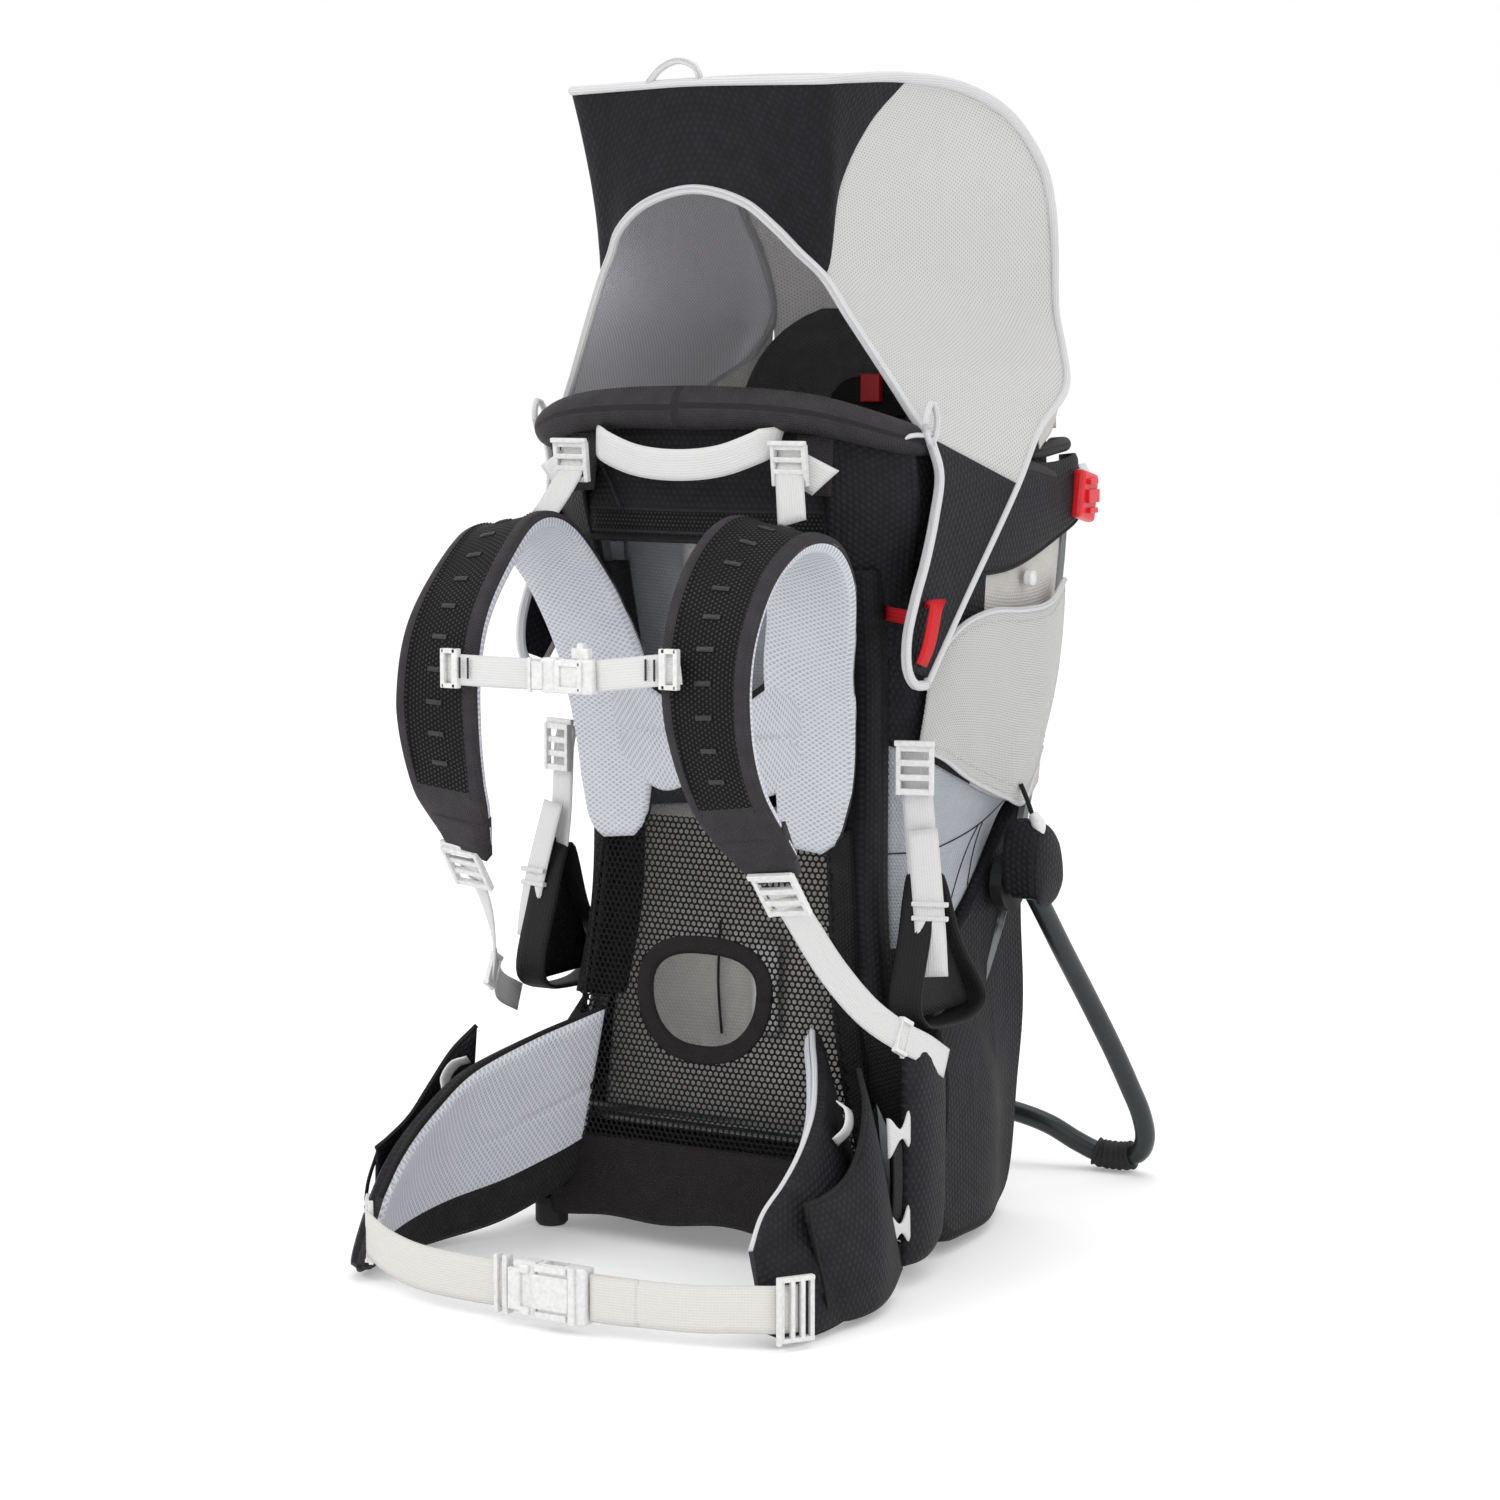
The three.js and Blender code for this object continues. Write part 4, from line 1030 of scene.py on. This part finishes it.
def handle_and_sternum():
    handle = Path(mirrored([(0, -60, 675), (42, -58, 679), (74, -54, 690), (84, -48, 695),
                            (88, -40, 692)]))
    web = belt("handle_web", handle, 26, Z_UP, WEB, "handle", 3.2)
    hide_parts("carry_handle")
    y = -240
    left = belt("chest_web_l", Path([(37, y, 515), (70, y, 519), (112, y + 5, 524)]), 25, Z_UP, WEB)
    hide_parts("sternum_webbing_l")
    right = belt("chest_web_r", Path([(-12, y, 514), (-60, y, 514), (-112, y + 5, 514)]), 25, Z_UP, WEB,
                 None)
    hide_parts("sternum_webbing_r")
    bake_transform(right.piece)
    for node in ("sternum_female", "sternum_male", "hip_buckle_female", "hip_buckle_male"):
        keep(node, BUCKLE, 0.8)
    for side, tag in SIDES:
        blocks(f"chest_slider_{tag}", [((0, 0, 0), (6, 6, 32)), ((12, 0, 0), (4, 6, 32)),
                                       ((6, 0, 14), (14, 6, 4)), ((6, 0, -14), (14, 6, 4))],
               (side * 98, y + 2, 519 + side * 4), BUCKLE, (side, 0, 0))
        bars = [((k * 4.0, 0, 0), (1.6, 1.2, 17)) for k in (-1, 1)]
        blocks(f"chest_tack_{tag}", bars, (side * 88, y - 1.6, 519 + side * 3), CHARCOAL, bevel=0.3)
    blocks("chest_face_f", [((0, 0, 10.5), (24, 3, 5)), ((0, 0, -10.5), (24, 3, 5)),
                            ((-10, 0, 0), (5, 3, 18)), ((11, 0, 0), (4, 3, 24))], (15, y - 6.6, 514),
           BUCKLE)
    blocks("chest_face_m", [((0, 0, 0), (10, 3, 22)), ((-7, 0, 0), (3, 4, 28))], (-14, y - 6.4, 514),
           BUCKLE, body="sternum_clip")
    blocks("chest_whistle", [((0, 0, 0), (16, 7, 9)), ((0, 0, 6), (6, 6, 5))], (24, y, 532), BUCKLE)


for side, tag in SIDES:
    shoulder_strap(side, tag)
    harness_webbing(side, tag)
yoke()
handle_and_sternum()


# ---------- hip belt ----------
WING_TOP = [(104, -12, 202), (118, -36, 194), (140, -72, 181), (168, -126, 157), (177, -163, 133),
            (179, -193, 114), (177, -220, 96), (178, -240, 72)]
WING_LOW = [(134, -8, 52), (152, -30, 36), (180, -66, 16), (206, -112, 7), (215, -156, 5),
            (215, -198, 4), (207, -230, 5), (194, -248, 14)]
POUCH_TOP = [(188, -84, 190), (202, -100, 170), (211, -122, 142), (214, -146, 120), (212, -178, 108),
             (206, -206, 104)]
POUCH_LOW = [(216, -62, 22), (223, -92, 11), (229, -128, 7), (226, -162, 6), (219, -190, 9)]


def hip_side(side, tag):
    top = Path(WING_TOP, side)
    low = Path(WING_LOW, side)
    # the front of the pad is the face against the hip
    mid = turned(ruled(low, top, 9, (side, 0, 0)), side < 0)

    def height(v):
        return v if side > 0 else 1 - v

    def seam(u, v):
        line = math.exp(-((height(v) - 0.56 + 0.10 * u) / 0.014) ** 2)
        return -3.0 * line * max(0, 1 - (u / 0.42) ** 6)

    def zone(u, v):
        return 0 if height(v) < 0.25 else None
    pad = Pad(f"wing_{tag}", mid, (80, 44), 21, SPACER, BLACK, CHARCOAL, power=5.0, rim=0.3,
              relief=seam, zone=([SOFT_BLACK], zone))
    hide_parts(f"hip_wing_{tag}")
    tube(f"wing_piping_{tag}", top, 2.6, PIPING if side > 0 else SOFT_BLACK)
    tube(f"wing_hem_{tag}", low, 2.6, SOFT_BLACK)

    tall = 184 if side > 0 else 136
    level = 18 + tall / 2
    flap_path = Path([(182, 52, level), (199, 34, level), (206, 6, level), (207, -18, level),
                      (203, -36, level)], side)
    flap = Pad(f"flap_{tag}", strip(flap_path, lambda u: tall - 60 * (1 - u) ** 3, Z_UP), (30, 26), 14,
               BLACK, power=3.0, rim=0.25)
    joint = ruled(Path([(136, 10, 210), (146, 20, 96), (162, 12, 26)], side),
                  Path([(196, 30, tall + 2), (204, 20, 92), (196, 22, 24)], side), 6, (0, -1, 0))
    cloth(f"flap_join_{tag}", joint, (20, 12), SOFT_BLACK, 3.0)

    pouch_low = Path(POUCH_LOW, side)
    pouch_top = Path(POUCH_TOP, side)
    face = turned(ruled(pouch_low, pouch_top, 8, (side, 0, 0)), side > 0)
    pouch = Pad(f"pouch_{tag}", face, (44, 30), 7, BLACK, power=4.0, rim=0.3)
    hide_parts(f"hip_pocket_{tag}")
    tube(f"pouch_hem_{tag}", pouch_top, 2.2, SOFT_BLACK)
    front = Path([(208, -202, 100), (217, -205, 70), (222, -200, 38), (221, -192, 10)], side)
    tube(f"pouch_seam_{tag}", front, 1.6, SOFT_BLACK)

    for k, z in enumerate((132, 53)):
        tab = Path([(207, -30, z + 1), (208, -46, z), (205, -66, z - 1)], side)
        belt(f"flap_tab_{tag}{k}", tab, lambda u: 34 - 26 * math.sin(math.pi * u) ** 2, Z_UP, WEB,
             steps=12, thick=3.2)
    belt(f"flap_strap_{tag}", Path([(204, -48, 128), (205, -48, 92), (204, -48, 56)], side), 16,
         (0, 1, 0), BLACK_WEB)
    pull = Path([(183, -104, 164), (193, -110, 160), (197, -119, 148), (190, -127, 138)], side)
    belt(f"pouch_pull_{tag}", pull, 14, (0, 1, -0.5), WEB, steps=10)
    lock = (219, -240, 32) if side > 0 else (-196, -232, 42)
    ladder(f"belt_lock_{tag}", lock, Z_UP, (side * -0.55, -0.83, 0), 52, 30)


def hip_belt():
    for side, tag in SIDES:
        hip_side(side, tag)
    left = Path([(60, -288, 31), (110, -285, 31), (150, -277, 31), (184, -263, 32), (207, -251, 32),
                 (219, -237, 32)])
    web = belt("belt_web_l", left, 38, Z_UP, BELT)
    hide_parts("belt_webbing_l")
    over = Path([(62, -291, 31), (84, -290, 31), (104, -286, 31)])
    belt("belt_fold_l", over, 38, Z_UP, BELT)
    right = Path([(-11, -288, 31), (-60, -288, 31), (-110, -282, 32), (-150, -268, 36),
                  (-184, -248, 41), (-196, -238, 42)])
    web = belt("belt_web_r", right, 38, Z_UP, BELT, None)
    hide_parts("belt_webbing_r")
    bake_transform(web.piece)
    blocks("belt_bar", [((0, 0, 0), (5, 10, 48)), ((-9, 0, 0), (4, 9, 48))], (-18, -288, 31), BUCKLE,
           body="hip_clip")
    blocks("belt_face_m", [((0, 0, 0), (12, 4, 34)), ((9, 0, 17), (10, 4, 7)),
                           ((9, 0, -17), (10, 4, 7))], (-6, -296, 31), BUCKLE, body="hip_clip",
           bevel=1.4)
    blocks("belt_face_f", [((0, 0, 0), (34, 4, 28)), ((0, 0, 19), (30, 4, 6)),
                           ((0, 0, -19), (30, 4, 6)), ((20, 0, 0), (6, 5, 46))], (28, -296, 31), BUCKLE,
           bevel=1.4)


hip_belt()


# ---------- stirrups ----------
def stirrup(side, tag):
    body = f"stirrup_{tag}"
    lock = ladder(f"foot_lock_{tag}", (side * 178, 30, 422), (side, 0.3, 0), Z_UP, 32, 42, body)
    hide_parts(body)
    across = (side, 0.3, 0)
    web = Path([(172, 38, 442), (175, 36, 424), (177, 37, 400), (180, 38, 360), (183, 37, 330)], side)
    belt(f"foot_web_{tag}", web, 26, across, WEB, body)
    tail = Path([(184, 32, 372), (193, 24, 326), (200, 18, 284), (203, 16, 252)], side)
    belt(f"foot_tail_{tag}", tail, 26, across, WEB, body)
    blocks(f"foot_keeper_{tag}", [((0, 0, 6), (31, 5, 4)), ((0, 0, -6), (31, 5, 4))],
           (side * 198, 20, 306), WEB, across, body=body)
    loop = Path([(184, 38, 336), (186, 14, 280), (187, -2, 226), (188, 10, 212), (189, 50, 206),
                 (190, 92, 208), (190, 112, 220), (187, 70, 276)], side, True)
    belt(f"foot_loop_{tag}", loop, 30, X_OUT, BLACK_WEB, body, 4)
    curtain = ruled(Path([(186, 33, 340), (188, 12, 280), (188, 2, 216)], side),
                    Path([(186, 43, 340), (188, 70, 280), (190, 106, 216)], side))
    cloth(f"foot_curtain_{tag}", curtain, (14, 12), SOFT_BLACK, 2.4, body=body)


for side, tag in SIDES:
    stirrup(side, tag)


# ---------- sunshade ----------
HOOP = [(0, -36, 989), (60, -33, 988), (120, -28, 987), (128, 4, 990), (134, 90, 996), (141, 190, 992),
        (149, 262, 970), (158, 303, 930), (159, 318, 900), (152, 341, 860), (147, 356, 804),
        (160, 345, 770), (186, 296, 736), (191, 232, 700), (192, 190, 655), (191, 92, 560),
        (191, 24, 494)]
SEAM = [(134, 88, 992), (124, 44, 955), (114, 14, 905), (108, -3, 830)]
ARCH = [(0, -32, 902), (49, -31, 890), (75, -27, 870), (91, -15, 850), (108, -3, 830), (125, 6, 800),
        (142, 16, 770), (159, 26, 740), (174, 32, 715), (189, 32, 698)]
WING_FRONT = [(189, 32, 698), (192, 44, 668), (191, 38, 634), (190, 23, 595), (190, 6, 566),
              (190, -8, 534), (190, -7, 509), (190, 6, 496), (191, 24, 494)]


def sunshade():
    hoop = Path(mirrored(HOOP))

    def thick(u):
        return 3.6 + 2.2 * math.exp(-((abs(u - 0.5) - 0.19) / 0.10) ** 2)
    piping = tube("shade_piping", hoop, thick, PIPING, "shade", 14)
    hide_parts("shade_frame")
    tube("arch_piping", Path(mirrored(ARCH)), 4.0, PIPING, "shade", 12)
    top = Path(mirrored([(0, -36, 987), (60, -33, 986), (120, -28, 985), (128, 4, 988),
                         (134, 88, 993)]))
    low = Path(mirrored(ARCH[:5] + SEAM[::-1][1:]))
    # the visor's inner face takes the lightened inner mesh: painted light inside the hood
    visor = cloth("visor", ruled(low, top, 4, (0, 1, 0)), (110, 28), VISOR, 1.6, INNER_NET_PAINTED_LIGHT, "shade")
    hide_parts("shade_visor")
    visor.cut()
    middle = Path([(0, -34, 990), (0, 60, 1001), (0, 150, 1002), (0, 244, 984), (0, 318, 930),
                   (0, 354, 872), (0, 367, 800), (0, 362, 700)])
    edge = Path(HOOP[2:11] + [(148, 358, 700)])

    def over(u, v):
        t = 2 * v - 1
        point = mix(middle.at(u), edge.at(u), abs(t) ** 2.2)
        point[0] = edge.at(u)[0] * t
        return point
    # the roof's front is its inner face and takes the lightened mesh: painted light inside the hood
    roof = cloth("roof", over, (56, 30), ROOF_INSIDE_PAINTED_LIGHT, 1.4, REAR_NET, "shade")
    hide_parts("shade_roof")
    roof.cut()
    loop = Path([(-40, -36, 990), (-28, -37, 1001), (-10, -38, 1007), (6, -37, 1001), (10, -36, 990)])
    tube("top_loop", loop, 3.0, PIPING, "shade", 10)
    for side, tag in SIDES:
        shade_side(side, tag)


def shade_side(side, tag):
    front = Path(SEAM + ARCH[5:], side)
    rear = Path(HOOP[4:15], side)
    mid = turned(ruled(front, rear, 4, (side, 0, 0)), side < 0)
    # the side net's inner face takes the lightened inner mesh: painted light inside the hood
    net = cloth(f"shade_net_{tag}", mid, (56, 28), SHADE_NET, 1.2, INNER_NET_PAINTED_LIGHT, "shade")
    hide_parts(f"shade_side_{tag}")
    net.cut()
    hoop_low = Path([(147, 355, 806), (160, 343, 770), (185, 294, 736), (190, 232, 702)], side)
    skirt_low = Path([(148, 357, 790), (150, 352, 744), (166, 316, 706), (184, 250, 684)], side)
    skirt = cloth(f"shade_skirt_{tag}", ruled(hoop_low, skirt_low), (20, 8), REAR_NET, 1.2, None,
                  "shade")
    skirt.cut()
    low_rear = Path([(192, 190, 655), (191, 92, 560), (191, 34, 498)], side)
    wing_mid = turned(ruled(Path(WING_FRONT[:-2], side), low_rear), side > 0)
    wing = cloth(f"shade_wing_{tag}", wing_mid, (30, 16), VISOR, 1.6, None, "shade")
    wing.cut()
    tube(f"wing_edge_{tag}", Path(WING_FRONT, side), 4.2, PIPING, "shade")
    ring = Path([(192, 18, 710), (194, 26, 727), (193, 38, 712), (191, 32, 692)], side, True)
    tube(f"arch_loop_{tag}", ring, 2.8, PIPING, "shade", closed=True, sides=10)
    cord = Path([(190, 24, 700), (184, 12, 700), (177, 4, 697)], side)
    tube(f"arch_cord_{tag}", cord, 2.0, PIPING, "shade", sides=8)
    pull = Path([(193, 30, 560), (199, 26, 563), (200, 20, 548), (199, 12, 526), (195, 8, 512)], side)
    tab = belt(f"pull_{tag}", pull, 19, (0, 1, 0), RED_WEB, "shade", 4.5)
    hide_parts(f"shade_pull_{tag}")


sunshade()


# ---------- floor, light and camera ----------
def stage():
    floor_look = Look("floor_white", (0.88, 0.88, 0.88), 0.9, space="Object")
    grain = floor_look.noise(3)
    floor_look.tint(floor_look.ramp(grain, 0.3, 0.7), (0.86, 0.86, 0.86))
    floor_look.set("Emission Color", (1, 1, 1, 1))
    floor_look.set("Emission Strength", 0.2)
    data = bpy.data.meshes.new("floor")
    r = 14
    data.from_pydata([(-r, -r, 0), (r, -r, 0), (r, r, 0), (-r, r, 0)], [], [(0, 1, 2, 3)])
    data.materials.append(floor_look.material)
    floor = bpy.data.objects.new("floor", data)
    floor.location.z = -0.0006
    bpy.context.scene.collection.objects.link(floor)
    world = bpy.data.worlds.new("studio")
    world.use_nodes = True
    world.node_tree.nodes["Background"].inputs[0].default_value = (1, 1, 1, 1)
    world.node_tree.nodes["Background"].inputs[1].default_value = 1.0
    bpy.context.scene.world = world
    for name, place, power, size in (("key", (-1.6, -2.6, 2.6), 30, 1.8),
                                     ("fill", (2.8, -1.6, 1.6), 12, 2.2),
                                     ("top", (0.2, 0.6, 3.2), 26, 2.4)):
        light = bpy.data.lights.new(name, "AREA")
        light.energy = power
        light.size = size
        lamp = bpy.data.objects.new(name, light)
        lamp.location = place
        aim = Vector((0, 0, 0.5)) - lamp.location
        lamp.rotation_euler = aim.to_track_quat("-Z", "Y").to_euler()
        bpy.context.scene.collection.objects.link(lamp)
    bpy.context.scene.view_settings.view_transform = "Standard"
    lens = bpy.data.cameras.new("camera")
    lens.lens = 85.2
    lens.sensor_width = 36
    camera = bpy.data.objects.new("camera", lens)
    camera.location = (1.54511, -2.6532, 0.763)
    camera.rotation_euler = Vector((-0.50298, 0.85730, -0.10973)).to_track_quat("-Z", "Y").to_euler()
    bpy.context.scene.collection.objects.link(camera)
    bpy.context.scene.camera = camera


stage()
